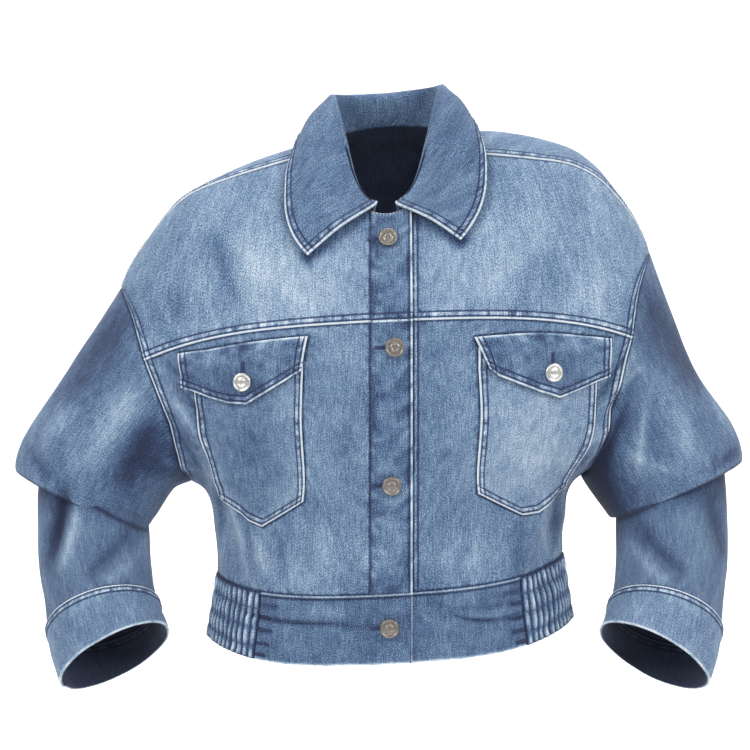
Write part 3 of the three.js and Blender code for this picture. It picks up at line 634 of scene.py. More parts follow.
class Paint:
    """A material under construction."""

    def __init__(self, name):
        self.material = bpy.data.materials.new(name)
        self.material.use_nodes = True
        self.tree = self.material.node_tree
        self.tree.nodes.clear()

    def node(self, kind, settings=None, values=None, output=0):
        made = self.tree.nodes.new(kind)
        for key, value in (settings or {}).items():
            if key == "stops":
                self._set_stops(made.color_ramp, value)
            else:
                setattr(made, key, value)
        for key, value in (values or {}).items():
            self.feed(made.inputs[key], value)
        return Field(self, made.outputs[output] if made.outputs else None)

    def _set_stops(self, ramp, stops):
        while len(ramp.elements) < len(stops):
            ramp.elements.new(1.0)
        for element, (at, colour) in zip(ramp.elements, stops):
            element.position = at
            element.color = (*colour, 1.0)

    def feed(self, socket, value):
        if isinstance(value, Field):
            self.tree.links.new(value.socket, socket)
        elif socket.type == "RGBA" and len(value) == 3:
            socket.default_value = (*value, 1.0)
        else:
            socket.default_value = value

    def mix(self, factor, a, b):
        settings = {"data_type": "RGBA", "blend_type": "MIX"}
        return self.node("ShaderNodeMix", settings, {0: factor, 6: a, 7: b}, output=2)

    def ramp(self, value, stops):
        return self.node("ShaderNodeValToRGB", {"stops": stops}, {0: value})

    def attribute(self, name):
        return self.node("ShaderNodeAttribute", {"attribute_name": name}, output=2)

    def vector(self, x, y, z):
        return self.node("ShaderNodeCombineXYZ", values={0: x, 1: y, 2: z})

    def place(self, scale):
        """The spot on a piece, in its own measures times a scale."""
        spot = self.node("ShaderNodeTexCoord", output=3)
        return self.node("ShaderNodeVectorMath", {"operation": "SCALE"}, {0: spot, 3: scale})

    def noise(self, vector, detail=2.0, roughness=0.5):
        values = {"Vector": vector, "Scale": 1.0, "Detail": detail, "Roughness": roughness}
        return self.node("ShaderNodeTexNoise", values=values)

    def finish(self, values, bump=None, height=0.0005):
        shader = self.node("ShaderNodeBsdfPrincipled", values=values)
        if bump is not None:
            normal = self.node("ShaderNodeBump", values={"Height": bump, "Distance": height, "Strength": 1.0})
            self.tree.links.new(normal.socket, shader.socket.node.inputs["Normal"])
        self.node("ShaderNodeOutputMaterial", values={"Surface": shader})
        return self.material


def colour(red, green, blue):
    """A colour given as a screen shows it, 0 to 255, as the linear one that shaders take."""
    linear = lambda v: v / 12.92 if v <= 0.04045 else ((v + 0.055) / 1.055) ** 2.4
    return tuple(linear(v / 255) for v in (red, green, blue))


DENIM_TONES = [
    (0.0, colour(28, 38, 66)),
    (0.25, colour(51, 75, 115)),
    (0.5, colour(94, 123, 155)),
    (0.75, colour(144, 168, 190)),
    (1.0, colour(210, 219, 226)),
]
# The inside is painted dark as shade, darker than denim's own lighter inside.
SHADED_INSIDE_TONES = [(0.2, colour(28, 34, 56)), (0.5, colour(46, 56, 84)), (0.8, colour(74, 88, 116))]
FIRST_ROW = 3.0  # stitch rows, from a lapped edge
SECOND_ROW = 8.2
ROW_SHADE = 1.5  # how far the painted shade beside a stitch row reaches
# Where the parts of a lap start and end, from its edge: the roped strip, the rubbed rim and the streaks
ROPED = (3.2, 4.2, 7.0, 8.2)
RUBBED_RIM = (1.6, 2.6)
STREAKED = (8.0, 19.0)
# The same beside what lies on the cloth: the painted shadow and the pulled strip
SHADOW = (0.6, 3.2)
PULLED = (2.0, 12.0)


def denim(name, tone=0.0, rope=1.0):
    """Washed denim: a speckled twill, roped along its seams and worn white at its folded edges."""
    paint = Paint(name)
    cut = paint.node("ShaderNodeUVMap", {"uv_map": "cut"})
    parts = paint.node("ShaderNodeSeparateXYZ", values={0: cut}).socket.node
    u, v = (Field(paint, parts.outputs[k]) * 1000 for k in (0, 1))
    # This attribute carries the wash's fades together with painted shade.
    wash, inside = paint.attribute("wash"), paint.attribute("inside")

    def grain(x, y, seed, detail=2.0, roughness=0.6):
        return paint.noise(paint.vector(x, y, seed), detail, roughness) - 0.5

    speck = grain(u * 1.2, v * 0.9, 0.0, roughness=0.85)
    streak = grain(u * 0.75, v * 0.055, 7.0)
    cloud = grain(u * 0.03, v * 0.022, 3.0, 3.0, 0.55)
    blotch = grain(u * 0.14, v * 0.1, 41.0)
    shade = wash + speck * 2.6 + streak * 0.6 + cloud * 0.42 + blotch * 0.3
    for lap, along, turn in (("lap_side", v, 11.0), ("lap_level", u, 23.0)):
        edge = paint.attribute(lap)
        bars = grain(along * 0.2, edge * 0.06, turn, 1.0, 0.5)
        band = edge.rise(*ROPED[:2]) * edge.fall(*ROPED[2:])
        worn = edge.fall(*RUBBED_RIM)
        # The dark along each stitch row is painted shade of its sunk row.
        rows = edge.line(FIRST_ROW + 0.1, ROW_SHADE).most(edge.line(SECOND_ROW, ROW_SHADE))
        shade = shade + band * (bars * rope + 0.1) + worn * (bars * 0.6 + 0.62) - rows * 0.5
        shade = shade + edge.fall(*STREAKED) * bars * 0.3
    under = paint.attribute("under")
    pull = grain(u * 0.16, v * 0.16, 31.0, 1.0, 0.5)
    # Painted shadow just beside seams and beside what lies on the cloth, then an uneven pulled strip.
    shade = shade - under.fall(*SHADOW) * 0.4 + under.fall(*PULLED) * pull * 0.5
    outer = paint.ramp(shade + tone, DENIM_TONES)
    inner = paint.ramp(shade - wash + 0.5, SHADED_INSIDE_TONES)
    twill = ((u * 0.9 + v) * 5.2).sin() * 0.25 + speck * 1.6
    values = {
        "Base Color": paint.mix(inside, outer, inner),
        "Roughness": 0.86,
        "Sheen Weight": 0.12,
        "Sheen Roughness": 0.6,
        "Specular IOR Level": 0.25,
    }
    return paint.finish(values, bump=twill, height=0.00022)


def thread_material():
    paint = Paint("navy_thread")
    dye = paint.mix(paint.noise(paint.place(400.0)), colour(24, 34, 72), colour(56, 74, 124))
    return paint.finish({"Base Color": dye, "Roughness": 0.62, "Sheen Weight": 0.2})


def metal_material(name, dark, bright, rough):
    paint = Paint(name)
    stain = paint.noise(paint.place(900.0), detail=3.0, roughness=0.6)
    values = {
        "Base Color": paint.mix(stain.rise(0.3, 0.7), dark, bright),
        "Metallic": 1.0,
        "Roughness": stain * 0.25 + rough,
    }
    return paint.finish(values, bump=stain, height=0.00003)


MATERIALS = {
    "body": denim("washed_denim_body"),
    "sleeve": denim("washed_denim_sleeve", tone=-0.07),
    "band": denim("washed_denim_band", tone=-0.03, rope=0.9),
    "elastic": denim("washed_denim_gathered", tone=-0.02),
    "thread": thread_material(),
    "front button": metal_material("antique_nickel", colour(112, 107, 101), colour(160, 154, 147), 0.27),
    "flap button": metal_material("bright_nickel", colour(205, 203, 200), colour(240, 239, 236), 0.18),
}


# ---- Cloth pieces

EDGE_MARKS = np.array([0, 0.3, 0.9, 1.7, 2.4, 3.0, 3.8, 5.6, 7.3, 8.2, 9.3, 11.5])
FAR = 500.0
ROUNDING = 1.0
SEAM_DIP = 0.5  # how far a seam sinks the cloth beside it
RUBBED = 0.42  # how much lighter a folded edge wears
PANEL_STEP = 2.8  # from one grid line to the next
POCKET_STEP = 2.2
FINE_STEP = 1.8
stitches = {}


def shares(length, step):
    """Places from 0 to 1 along a length, closer together near both of its ends."""
    near = EDGE_MARKS / length
    middle = np.linspace(0, 1, max(4, int(length / step)))
    inner = middle[(middle > near[-1] * 1.1) & (middle < 1 - near[-1] * 1.1)]
    return np.concatenate([near, inner, 1 - near[::-1]])


def seam_relief(edge, along, seed):
    """Two sunk stitch rows with a puckered ridge between them."""
    ridge = 0.6 * fall(edge, 8.4, 2.4)
    rows = hump(edge, FIRST_ROW, 0.7) + hump(edge, SECOND_ROW, 0.7)
    band = smooth((edge - 0.5) / 2) * fall(edge, 7, 10)
    return ridge - 0.3 * rows + 0.38 * band * wander(along / 3.6 + seed, edge / 9 + seed)


def wash_and_shade_of(point, out, relief, base, kind):
    """How light a spot is: the wash's fades and painted shade in patches, crease ridges worn lighter, and
    painted shade in the creases' hollows.
    """
    x, z = point[..., 0], point[..., 2]
    front = smooth(0.5 - out[..., 1])
    wash = base + 0.05 * wander(x / 60 + 9, z / 75 + 4) + 0.085 * relief
    for side, facing in (("front", front), ("sleeve", front * (kind == "sleeve")), ("back", 1 - front)):
        for patch in WASH_AND_SHADE_PATCHES[side]:
            spot = hump(x, patch["x"], patch["wide"]) * hump(z, patch["z"], patch["high"])
            wash = wash + patch["change"] * spot * facing
    return wash


# Patches on the front: the lighter ones are the wash's fades, the darker ones painted shade.
FRONT_PATCHES = table(
    "x z wide high change",
    """
    -128 -118 74 46 0.13
    -62 -150 46 34 0.08
    -206 -150 20 40 -0.06
    122 -110 80 48 0.09
    60 -140 40 40 0.05
    -134 -290 34 70 -0.22
    -186 -260 20 50 -0.12
    146 -290 44 62 0.16
    -48 -300 26 70 0.02
    62 -290 26 70 0.08
    -60 -400 50 26 0.08
    -130 -392 26 36 0.06
    84 -392 46 26 0.07
    42 -416 15 18 -0.14
    168 -372 22 30 -0.06
    -184 -296 12 40 -0.16
    -300 -230 46 60 0.03
    306 -250 36 70 -0.04
    -290 -390 34 40 0.05
    -284 -476 60 40 -0.05
    300 -380 34 40 0.05
    """,
)
# Painted shadow on the sleeves under the arms, beside the body.
SLEEVE_SHADE_PATCHES = table(
    "x z wide high change",
    """
    -228 -276 18 12 -0.24
    -216 -308 28 17 -0.42
    -194 -320 12 16 -0.3
    206 -316 17 58 -0.95
    224 -356 18 26 -0.4
    """,
)
# Patches on the back: the lighter ones are the wash's fades, the darker ones beside the armpits painted
# shade.
BACK_PATCHES = table(
    "x z wide high change",
    """
    0 -100 120 60 0.14
    -90 -250 60 80 0.06
    92 -240 60 80 0.06
    -300 -300 40 60 0.12
    304 -290 40 60 0.12
    -214 -300 22 50 -0.25
    214 -300 22 50 -0.25
    """,
)
WASH_AND_SHADE_PATCHES = {"front": FRONT_PATCHES, "sleeve": SLEEVE_SHADE_PATCHES, "back": BACK_PATCHES}


class Piece:
    """A grid of cloth with its outer points, ways out and distances from its four edges."""

    def __init__(self, points, closed, rows, columns):
        self.points = points
        self.closed = closed
        self.rows, self.columns = grid(rows, columns)
        down, across = np.gradient(points, axis=0), np.gradient(points, axis=1)
        if closed:
            across = np.roll(points, -1, 1) - np.roll(points, 1, 1)
        self.out = unit(np.cross(down, across))
        self.left = lengths(points, 1)
        self.top = lengths(points, 0)
        self.edges = {
            "left": self.left,
            "right": self.left[:, -1:] - self.left,
            "top": self.top,
            "bottom": self.top[-1:] - self.top,
        }

    def nearest(self, edges, beyond=0.0):
        """Distances from the nearest of some edges."""
        away = [self.edges[edge] + beyond for edge in edges]
        return np.minimum.reduce([np.full_like(self.left, FAR), *away])

    def line(self, edge, inset):
        """Points and ways out along an edge, inset from it."""
        away = self.edges[edge]
        both = np.concatenate([self.points, self.out], axis=-1)
        if edge in ("top", "bottom"):
            away, both = away.T, both.transpose(1, 0, 2)
        if edge in ("right", "bottom"):
            away, both = away[:, ::-1], both[:, ::-1]
        found = np.array([[np.interp(inset, a, b[:, k]) for k in range(6)] for a, b in zip(away, both)])
        if self.closed and edge in ("top", "bottom"):
            found = np.concatenate([found, found[:1]])
        return found[:, :3], unit(found[:, 3:])


def new_mesh(name, points, faces):
    mesh = bpy.data.meshes.new(name)
    mesh.from_pydata((points * MM).tolist(), [], faces)
    mesh.update()
    return mesh


def wall_mesh(name, outer, inner, closed, flip):
    """A closed wall between two grids of points, as one mesh in metres."""
    rows, columns = outer.shape[:2]
    points = np.concatenate([outer.reshape(-1, 3), inner.reshape(-1, 3)])
    number = np.arange(rows * columns).reshape(rows, columns)
    if closed:
        number = np.concatenate([number, number[:, :1]], axis=1)
    a, b, c, d = number[:-1, :-1], number[1:, :-1], number[1:, 1:], number[:-1, 1:]
    face = np.stack([a, b, c, d], -1).reshape(-1, 4)
    under = rows * columns
    rim = [number[0, :], number[-1, ::-1]]
    if not closed:
        rim += [number[::-1, 0], number[:, -1]]
    walls = [np.stack([r[:-1], r[1:], r[1:] + under, r[:-1] + under], -1) for r in rim]
    quads = np.concatenate([face, face[:, ::-1] + under, *walls])
    if flip:
        quads = quads[:, ::-1]
    return new_mesh(name, points, quads.tolist())


def add_attribute(mesh, name, values):
    layer = mesh.attributes.new(name, "FLOAT", "POINT")
    layer.data.foreach_set("value", np.asarray(values, np.float32).ravel())


def add_cut(mesh, u, v):
    """The uv map of the cut cloth, in metres."""
    layer = mesh.uv_layers.new(name="cut")
    corner = np.empty(len(mesh.loops), np.int32)
    mesh.loops.foreach_get("vertex_index", corner)
    flat = np.stack([u.ravel(), v.ravel()], -1) * MM
    layer.data.foreach_set("uv", np.concatenate([flat, flat])[corner].astype(np.float32).ravel())


def distance(points, line):
    """Distances of points from the nearest stretch of a line."""
    best = np.full(points.shape[:-1], FAR)
    for a, b in zip(line[:-1], line[1:]):
        way = b - a
        share = np.clip((points - a) @ way / max(way @ way, 1e-9), 0, 1)
        best = np.minimum(best, np.linalg.norm(points - a - share[..., None] * way, axis=-1))
    return best


def cloth(
    node, place, rows, columns, thick, material, *, base, laps="", sewn="", worn="", relief=None, shade=None,
    cross=None, over=(), beyond=0.0, closed=False, middle=0, slot="washed_denim",
):
    """A wall of cloth that stands for a node. place gives a grid's points at an offset. laps names the edges
    with two stitch rows, worn those that are folded and rubbed, and sewn those that run under a neighbour.
    beyond takes its side edges out of the laps, cross adds one that runs over the piece, and over gives the
    outlines of what lies on it."""
    piece = Piece(place(rows, columns, np.zeros((len(rows), len(columns)))), closed, rows, columns)
    laps, sewn, worn = laps.split(), sewn.split(), worn.split()
    lap_side = piece.nearest([edge for edge in laps if edge in ("left", "right")], beyond)
    lap_level = piece.nearest([edge for edge in laps if edge in ("top", "bottom")])
    if cross is not None:
        lap_level = np.minimum(lap_level, cross(piece))
    rim = piece.nearest([e for e in (("top", "bottom") if closed else piece.edges) if e not in sewn])
    seam = piece.nearest(sewn)
    under = np.minimum.reduce([seam, *(distance(piece.points, line) for line in over)])
    rounding = ROUNDING * (1 - np.sqrt(1 - (1 - np.clip(rim / ROUNDING, 0, 1)) ** 2))
    dip = SEAM_DIP * np.exp(-seam / 1.2)
    u = piece.left - piece.left[:, middle:middle + 1]
    v = -piece.top
    if closed:
        u = piece.columns / 360 * piece.left.max()
    if hasattr(place, "spots"):
        v = -drop(*place.spots(rows, columns))
    piece.u, piece.v = u, v
    rise = seam_relief(lap_side, v, 5) + seam_relief(lap_level, u, 19)
    rise = rise + 0.16 * wander(u / 9, v / 14) + 0.3 * wander(u / 30 + 5, v / 38 + 3)
    if relief is not None:
        rise = rise + relief(piece)
    outer = place(rows, columns, rise - rounding - dip)
    inner = place(rows, columns, np.full_like(rise, -thick) + rounding * 0.5)
    made = Piece(outer, closed, rows, columns)
    flip = ((outer - inner) * made.out).sum() < 0
    if flip:
        made.out = -made.out
    mesh = wall_mesh(f"cloth_{node}", outer, inner, closed, flip)
    add_cut(mesh, u, v)
    # The wash's fades and wear, with painted shade from creases, darker patches and the piece's shade
    # function.
    wash = wash_and_shade_of(piece.points, made.out, crease_relief(piece.points, made.out), base, material)
    wash = wash + RUBBED * (1 + 0.6 * wander(u / 7, v / 9)) * fall(piece.nearest(worn), 0.8, 1.6)
    if shade is not None:
        wash = wash + shade(piece)
    both = lambda values: np.concatenate([values.ravel(), values.ravel()])
    for key, values in (("wash", wash), ("lap_side", lap_side), ("lap_level", lap_level), ("under", under)):
        add_attribute(mesh, key, both(values))
    add_attribute(mesh, "inside", np.repeat([0.0, 1.0], rise.size))
    return made, dress(node, mesh, material, slot)


def link(name, data):
    made = bpy.data.objects.new(name, data)
    bpy.context.scene.collection.objects.link(made)
    return made


def dress(node, mesh, material, slot):
    """Puts a mesh in the scene as a piece of the jacket."""
    mesh.shade_smooth()
    mesh.set_sharp_from_angle(angle=math.radians(55))
    mesh.materials.append(MATERIALS[material])
    made = link(mesh.name, mesh)
    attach(made, "root")
    if node:
        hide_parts(node)
    return made


# ---- Stitches

STITCH = 3.3  # from one stitch to the next
THREAD = 0.42  # half the thread's thickness


def sew(group, points, out, start=0.0, end=0.0, keep=None):
    """Adds a row of stitches along a line, leaving out millimetres at its start and end."""
    steps = np.linalg.norm(np.diff(points, axis=0), axis=1)
    along = np.concatenate([[0], np.cumsum(steps)])
    places = np.arange(start + 0.4, along[-1] - end - STITCH, STITCH)
    if not len(places):
        return
    at = lambda s, values: np.stack([np.interp(s, along, values[:, k]) for k in range(3)], -1)
    a, b = at(places, points), at(places + STITCH * 0.8, points)
    up = unit(at(places + STITCH * 0.4, out))
    if keep is not None:
        chosen = np.interp(places, along, keep.astype(float)) > 0.5
        a, b, up = a[chosen], b[chosen], up[chosen]
    stitches.setdefault(f"stitching_{group}", []).append((a, b, up))


def stitch_edges(group, piece, edges, insets=(FIRST_ROW, SECOND_ROW), start=0.0, end=0.0, keep=None):
    """Rows of stitches along edges; where rows of two edges meet, each ends at the other's inset."""
    for edge in edges.split():
        for inset in insets:
            points, out = piece.line(edge, inset)
            sew(group, points, out, start * inset, end * inset, keep)


PROFILE = [(0.0, -0.3, 0.4), (0.2, 0.5, 0.95), (0.8, 0.5, 0.95), (1.0, -0.3, 0.4)]  # along, height, thickness
SIDES = 4


def stitch_mesh(name, rows):
    """All the stitches of a group as one mesh of short arched threads."""
    a, b, up = (np.concatenate([row[k] for row in rows]) for k in range(3))
    way = unit(b - a)
    across = unit(np.cross(way, up))
    up = np.cross(across, way)
    turns = (np.arange(SIDES) + 0.5) * 2 * math.pi / SIDES
    rings = []
    for along, height, thickness in PROFILE:
        middle = lerp(a, b, along) + up * (height * THREAD)
        for turn in turns:
            spoke = across * math.cos(turn) + up * math.sin(turn)
            rings.append(middle + spoke * (thickness * THREAD * math.sqrt(2)))
    points = np.stack(rings, 1)
    count, each = points.shape[:2]
    quads = [[SIDES - 1 - k for k in range(SIDES)]]
    for ring in range(len(PROFILE) - 1):
        for k in range(SIDES):
            low, high = ring * SIDES + k, ring * SIDES + (k + 1) % SIDES
            quads.append([low, high, high + SIDES, low + SIDES])
    quads.append([each - SIDES + k for k in range(SIDES)])
    faces = (np.array(quads)[None] + np.arange(count)[:, None, None] * each).reshape(-1, 4)
    return new_mesh(name, points.reshape(-1, 3), faces.tolist())


# ---- The jacket's pieces


def even_rows(sample, length, step):
    """Values between those of sample at even steps of its length, closer together near both ends."""
    return np.interp(shares(length[-1], step) * length[-1], length, sample)


def rings(start, end, step=2.6):
    """Ring numbers from one to another at about even distances down the body's side and front."""
    sample = np.linspace(start, end, 60)
    turns = np.array([0, 60, 120, 180])[:, None]
    length = lengths(body_form(turns, sample[None]), 1).mean(0)
    return even_rows(sample, length, step)


def body_place(turn_of):
    """A place function for a panel whose columns are shares of the way between turns that a ring gives."""

    def spots(rows, columns):
        ring, share = grid(rows, columns)
        start, end = turn_of(ring)
        return lerp(start, end, share), ring

    def place(rows, columns, off):
        return body(*spots(rows, columns), off)

    place.spots = spots
    return place


PLACKET_LIFT = 2.2
PLACKET_ROWS = {"right": FIRST_ROW, "left": 1.4, "top": 2.0}
FACING_ROW = 5.3  # how far beyond the placket's edge a row of stitches shows on the left front


def placket_lift(piece):
    """The right front comes up to the placket that is folded from it."""
    return PLACKET_LIFT * fall(piece.left, 0, 26)


def placket_edge(start, end):
    """The placket's free edge between two rings."""
    ring = np.linspace(start, end, 40)
    return body(turn_at(PLACKET["left"], ring), ring)


def collar_end(side):
    """Where the collar ends in front, in degrees across it."""
    turn = float(turn_at(COLLAR_END[side_name(side)], NECK))
    return turn if side < 0 else turn - 360


def collar_edges(side):
    """The collar's front end and its outer edge on one side."""
    end = collar_end(side)
    front = collar_form(end, np.linspace(2.5, COLLAR_ROWS, 12))
    return front, collar_form(end + side * np.linspace(0, 110, 24), COLLAR_ROWS)


def laid_outlines(name):
    """The outlines of the flap and the pocket on a front."""
    found = []
    for spots in (flap_spots(name), pocket_spots(name)):
        rim = np.concatenate([spots[:, 0], spots[-1, 1:], spots[-2::-1, -1], spots[0, -2::-1]])
        found.append(body(rim[:, 0], rim[:, 1]))
    return found


def make_fronts(side):
    name = side_name(side)
    opening = PLACKET["right"] if side < 0 else UNDERLAP
    place = body_place(lambda ring: (turn_at(opening, ring), side * seam_turn(ring, True, side)))
    ends, edges = collar_edges(side)

    def collar_shadow(piece):
        """A painted shadow on the cloth beside and under the collar, darkest along its front end."""
        at_end, at_edge = distance(piece.points, ends), distance(piece.points, edges)
        return -0.6 * hump(at_end, 0, 7.5) - 0.28 * hump(at_edge, 0, 5)

    def at_opening(start, end):
        """What a front has beside the opening: the right one lifts, the left one runs under the placket."""
        if side < 0:
            return [], {"relief": placket_lift}
        edge = placket_edge(start, end)
        return [edge], {"cross": lambda piece: distance(piece.points, edge) + SECOND_ROW - FACING_ROW}

    under = "left " if side < 0 else ""
    yoke_rings = rings(NECK, YOKE_SEAM)
    over, extra = at_opening(PLACKET_TOP, YOKE_SEAM)
    yoke, yoke_cloth = cloth(
        f"front_yoke_{name}", place, yoke_rings, shares(230, PANEL_STEP), CLOTH, "body", base=0.52,
        laps="right bottom", sewn=under + "right", beyond=FAR * (yoke_rings < SHOULDER_POINT)[:, None],
        shade=collar_shadow, over=over, **extra,
    )
    over, extra = at_opening(YOKE_SEAM, BAND_SEAM)
    lower, lower_cloth = cloth(
        f"front_{name}", place, rings(YOKE_SEAM, BAND_SEAM), shares(200, PANEL_STEP), CLOTH, "body",
        base=0.44, laps="right", sewn=under + "top bottom", over=[*laid_outlines(name), *over], **extra,
    )
    stitch_edges("fronts", yoke, "bottom", end=1.0)
    stitch_edges("fronts", yoke, "right", keep=yoke_rings >= SHOULDER_POINT)
    stitch_edges("fronts", lower, "right")
    if side > 0:
        ring = rings(PLACKET_TOP, BAND_SEAM)
        turn = turn_at(PLACKET["left"] + FACING_ROW, ring)
        sew("fronts", body(turn, ring, 0.5), body_out(turn, ring))


def make_back():
    def turns(ring):
        return seam_turn(ring, False, 1), 360 - seam_turn(ring, False, -1)

    back_rings = rings(NECK, BAND_SEAM, 3.2)
    columns = shares(520, 3.4)
    low = FAR * (back_rings > ARMHOLE_BOTTOM)[:, None]
    piece, made = cloth(
        "back", body_place(turns), back_rings, columns, CLOTH, "body", base=0.5,
        laps="left right", sewn="bottom", middle=len(columns) // 2, beyond=low,
    )
    stitch_edges("back", piece, "left right", keep=back_rings <= ARMHOLE_BOTTOM)


TUBE_COLUMNS = np.linspace(0, 360, 150, endpoint=False)
LIP = {"start": 1.7, "turn": 1.9, "middle": 2.1, "end": 2.9}  # rings of the fold's lip at the elbow


def make_sleeve(side):
    name = side_name(side)
    form = lambda angle, ring: sleeve_form(angle, ring, side)

    def place(rows, columns, off):
        ring, angle = grid(rows, columns)
        point = form(angle, ring)
        near = np.clip(ring, ARMHOLE_RING + NUDGE, len(SLEEVE_RINGS) - 1 - NUDGE)
        out = way_out(form, angle, near, 1, NUDGE) * side * -1
        tucked = smooth((ring - 1.7) / 0.6) * smooth((6.2 - ring) / 0.8)
        fade = smooth((ring - ARMHOLE_RING) / 0.25) * (1 - tucked)
        return point + out * (off + crease_relief(point, out) * fade)[..., None]

    sample = np.linspace(ARMHOLE_RING, len(SLEEVE_RINGS) - 1, 240)
    front = form(np.array([[60.0]]), sample[:, None])
    outer = form(np.array([[0.0]]), sample[:, None])
    length = (lengths(front, 0) + lengths(outer, 0))[:, 0] / 2
    rows = even_rows(sample, length, PANEL_STEP)

    def tuck_shade(piece):
        """Painted shade in the folded elbow, its lip wears light, and a painted shadow line runs under the
        lip.
        """
        front = (0.5 + 0.5 * np.cos(np.radians(piece.columns - TUCK["turn"]))) ** 0.8
        hollow = smooth((piece.rows - 2.6) / 0.8) * fall(piece.rows, 5.2, 1.2)
        lip = hump(piece.rows, LIP["middle"], 0.35)
        height = piece.points[..., 2]
        bend = (piece.rows > LIP["start"]) & (piece.rows < LIP["end"])
        edge = np.where(bend, height, FAR).min(axis=0)
        line = np.exp(-np.abs(height - edge) / 1.6) * (piece.rows > LIP["turn"])
        return front * (0.12 * lip - 0.45 * hollow) - np.minimum(1, 1.6 * front) * 0.6 * line

    made = cloth(
        f"sleeve_{name}", place, rows, TUBE_COLUMNS, CLOTH, "sleeve", base=0.42,
        sewn="top bottom", closed=True, shade=tuck_shade,
    )[1]


def make_cuff(side):
    name = side_name(side)

    def place(rows, columns, off):
        ring, angle = grid(rows, columns)
        point = arm_ring(CUFF_RINGS, ring, angle, side)
        out = unit(point - arm_ring(CUFF_RINGS, ring, angle + 180, side))
        sag = 0.9 * wander(angle / 24 + side, ring * 1.5 + 8) * smooth(ring)
        return point + out * (off + sag)[..., None]

    rows = lerp(CUFF_LAP, len(CUFF_RINGS) - 1, shares(50, POCKET_STEP))
    piece, made = cloth(
        f"cuff_{name}", place, rows, TUBE_COLUMNS, CUFF_WALL, "body", base=0.47,
        laps="top", worn="bottom", closed=True,
    )
    stitch_edges("sleeves", piece, "top")


def lap_lines(name):
    """The spots of a front's flap top, pocket top, flap edge and pocket edge, across its pocket."""
    side = -1 if name == "right" else 1
    share = np.linspace(0, 1, POCKET_COLUMNS + 1)
    found = []
    for line in FRONT_LINES[name]:
        across = lerp(POCKET_INNER, line["outer"], share)
        after = (share - line["tipAt"]) / (1 - line["tipAt"])
        point = np.where(share < line["tipAt"], share / line["tipAt"], lerp(1, line["rest"], after))
        rise = line["slope"] * (across - POCKET_INNER) + line["bow"] * np.sin(math.pi * share)
        found.append(spot_at(side * across, line["z"] + rise - line["tip"] * point))
    return np.array(found)  # line, turn or ring, share


def spread(coarse, rows, columns):
    """A coarse grid of spots taken at any rows and columns between its own."""
    i = np.clip(np.floor(rows).astype(int), 0, coarse.shape[0] - 2)
    j = np.clip(np.floor(columns).astype(int), 0, coarse.shape[1] - 2)
    s, t = (rows - i)[:, None, None], (columns - j)[None, :, None]
    pick = lambda a, b: coarse[np.ix_(i + a, j + b)]
    return lerp(lerp(pick(0, 0), pick(0, 1), t), lerp(pick(1, 0), pick(1, 1), t), s)


def pocket_spots(name):
    lines = lap_lines(name)
    rows = [lines[1], lerp(lines[1], lines[2], 0.5), lines[2]]
    rows += [lerp(lines[2], lines[3], k / 3) for k in (1, 2, 3)]
    return np.array(rows).transpose(0, 2, 1)


def stitch_pocket(piece):
    stitch_edges("pockets", piece, "left right", end=1.0)
    stitch_edges("pockets", piece, "bottom", start=1.0, end=1.0)


def make_pocket(side):
    name = side_name(side)
    coarse = pocket_spots(name)
    last_row, last_column = coarse.shape[0] - 1, coarse.shape[1] - 1

    def place(rows, columns, off):
        spots = spread(coarse, rows * last_row, columns * last_column)
        return body(spots[..., 0], spots[..., 1], off + LAID_ON + CLOTH)

    piece, made = cloth(
        f"pocket_{name}", place, shares(165, POCKET_STEP), shares(108, POCKET_STEP), CLOTH, "body", base=0.52,
        laps="left right bottom", over=laid_outlines(name)[:1],
    )
    stitch_pocket(piece)


def flap_spots(name):
    side = -1 if name == "right" else 1
    lines = lap_lines(name)
    rows = [lines[0], lines[1], lerp(lines[1], lines[2], 0.5), lines[2]]
    size, low = FLAP[name], FRONT_LINES[name][2]
    made = []
    for i, row in enumerate(rows):
        z = body_form(row[0], row[1])[..., 2]
        inner = spot_at(side * lerp(size["innerTop"], size["innerLow"], i / FLAP_ROWS), z[0])
        rise = low["rest"] * low["tip"] * max(0, (i - 1) / 2)
        outer = spot_at(side * lerp(size["outerTop"], size["outerLow"], i / FLAP_ROWS), z[-1] + rise)
        spots = row.T.copy()
        spots[0], spots[-1] = inner, outer
        made.append(spots)
    return np.array(made)


def blotches(piece):
    """Dye left in the puckers that the stitching makes near a narrow piece's edges."""
    near = np.exp(-piece.nearest(piece.edges) / 12)
    dye = 0.3 * near * (wander(piece.u / 9 + 3, piece.v / 6 + 1) - 0.2)
    return dye + 0.1 * wander(piece.u / 16, piece.v / 11)


def make_flap(side):
    """Makes a flap and returns the spot of its button."""
    name = side_name(side)
    coarse = flap_spots(name)

    def place(rows, columns, off):
        spots = spread(coarse, rows * FLAP_ROWS, columns * POCKET_COLUMNS)
        rise = np.interp(rows * FLAP_ROWS, range(FLAP_ROWS + 1), FLAP_RISE)[:, None]
        return body(spots[..., 0], spots[..., 1], off + LAID_ON + DOUBLE + rise)

    def puff(piece):
        """Fullness between the flap's edges, and short puckers below its top seam."""
        inside = piece.nearest(piece.edges)
        pucker = wander(piece.u / 4 + 3, piece.v / 14) * np.exp(-piece.top / 12)
        return 0.7 * smooth(inside / 16) + 0.45 * pucker

    rows, columns = shares(58, FINE_STEP), shares(125, FINE_STEP)
    piece, made = cloth(
        f"flap_{name}", place, rows, columns, DOUBLE, "band", base=0.4,
        laps="left right bottom", worn="top", relief=puff, shade=blotches,
    )
    stitch_pocket(piece)
    i = place_of(rows, FLAP_BUTTON["row"] / FLAP_ROWS)
    j = place_of(columns, FLAP_BUTTON["column"][name] / POCKET_COLUMNS)
    return piece.points[i, j], piece.out[i, j]


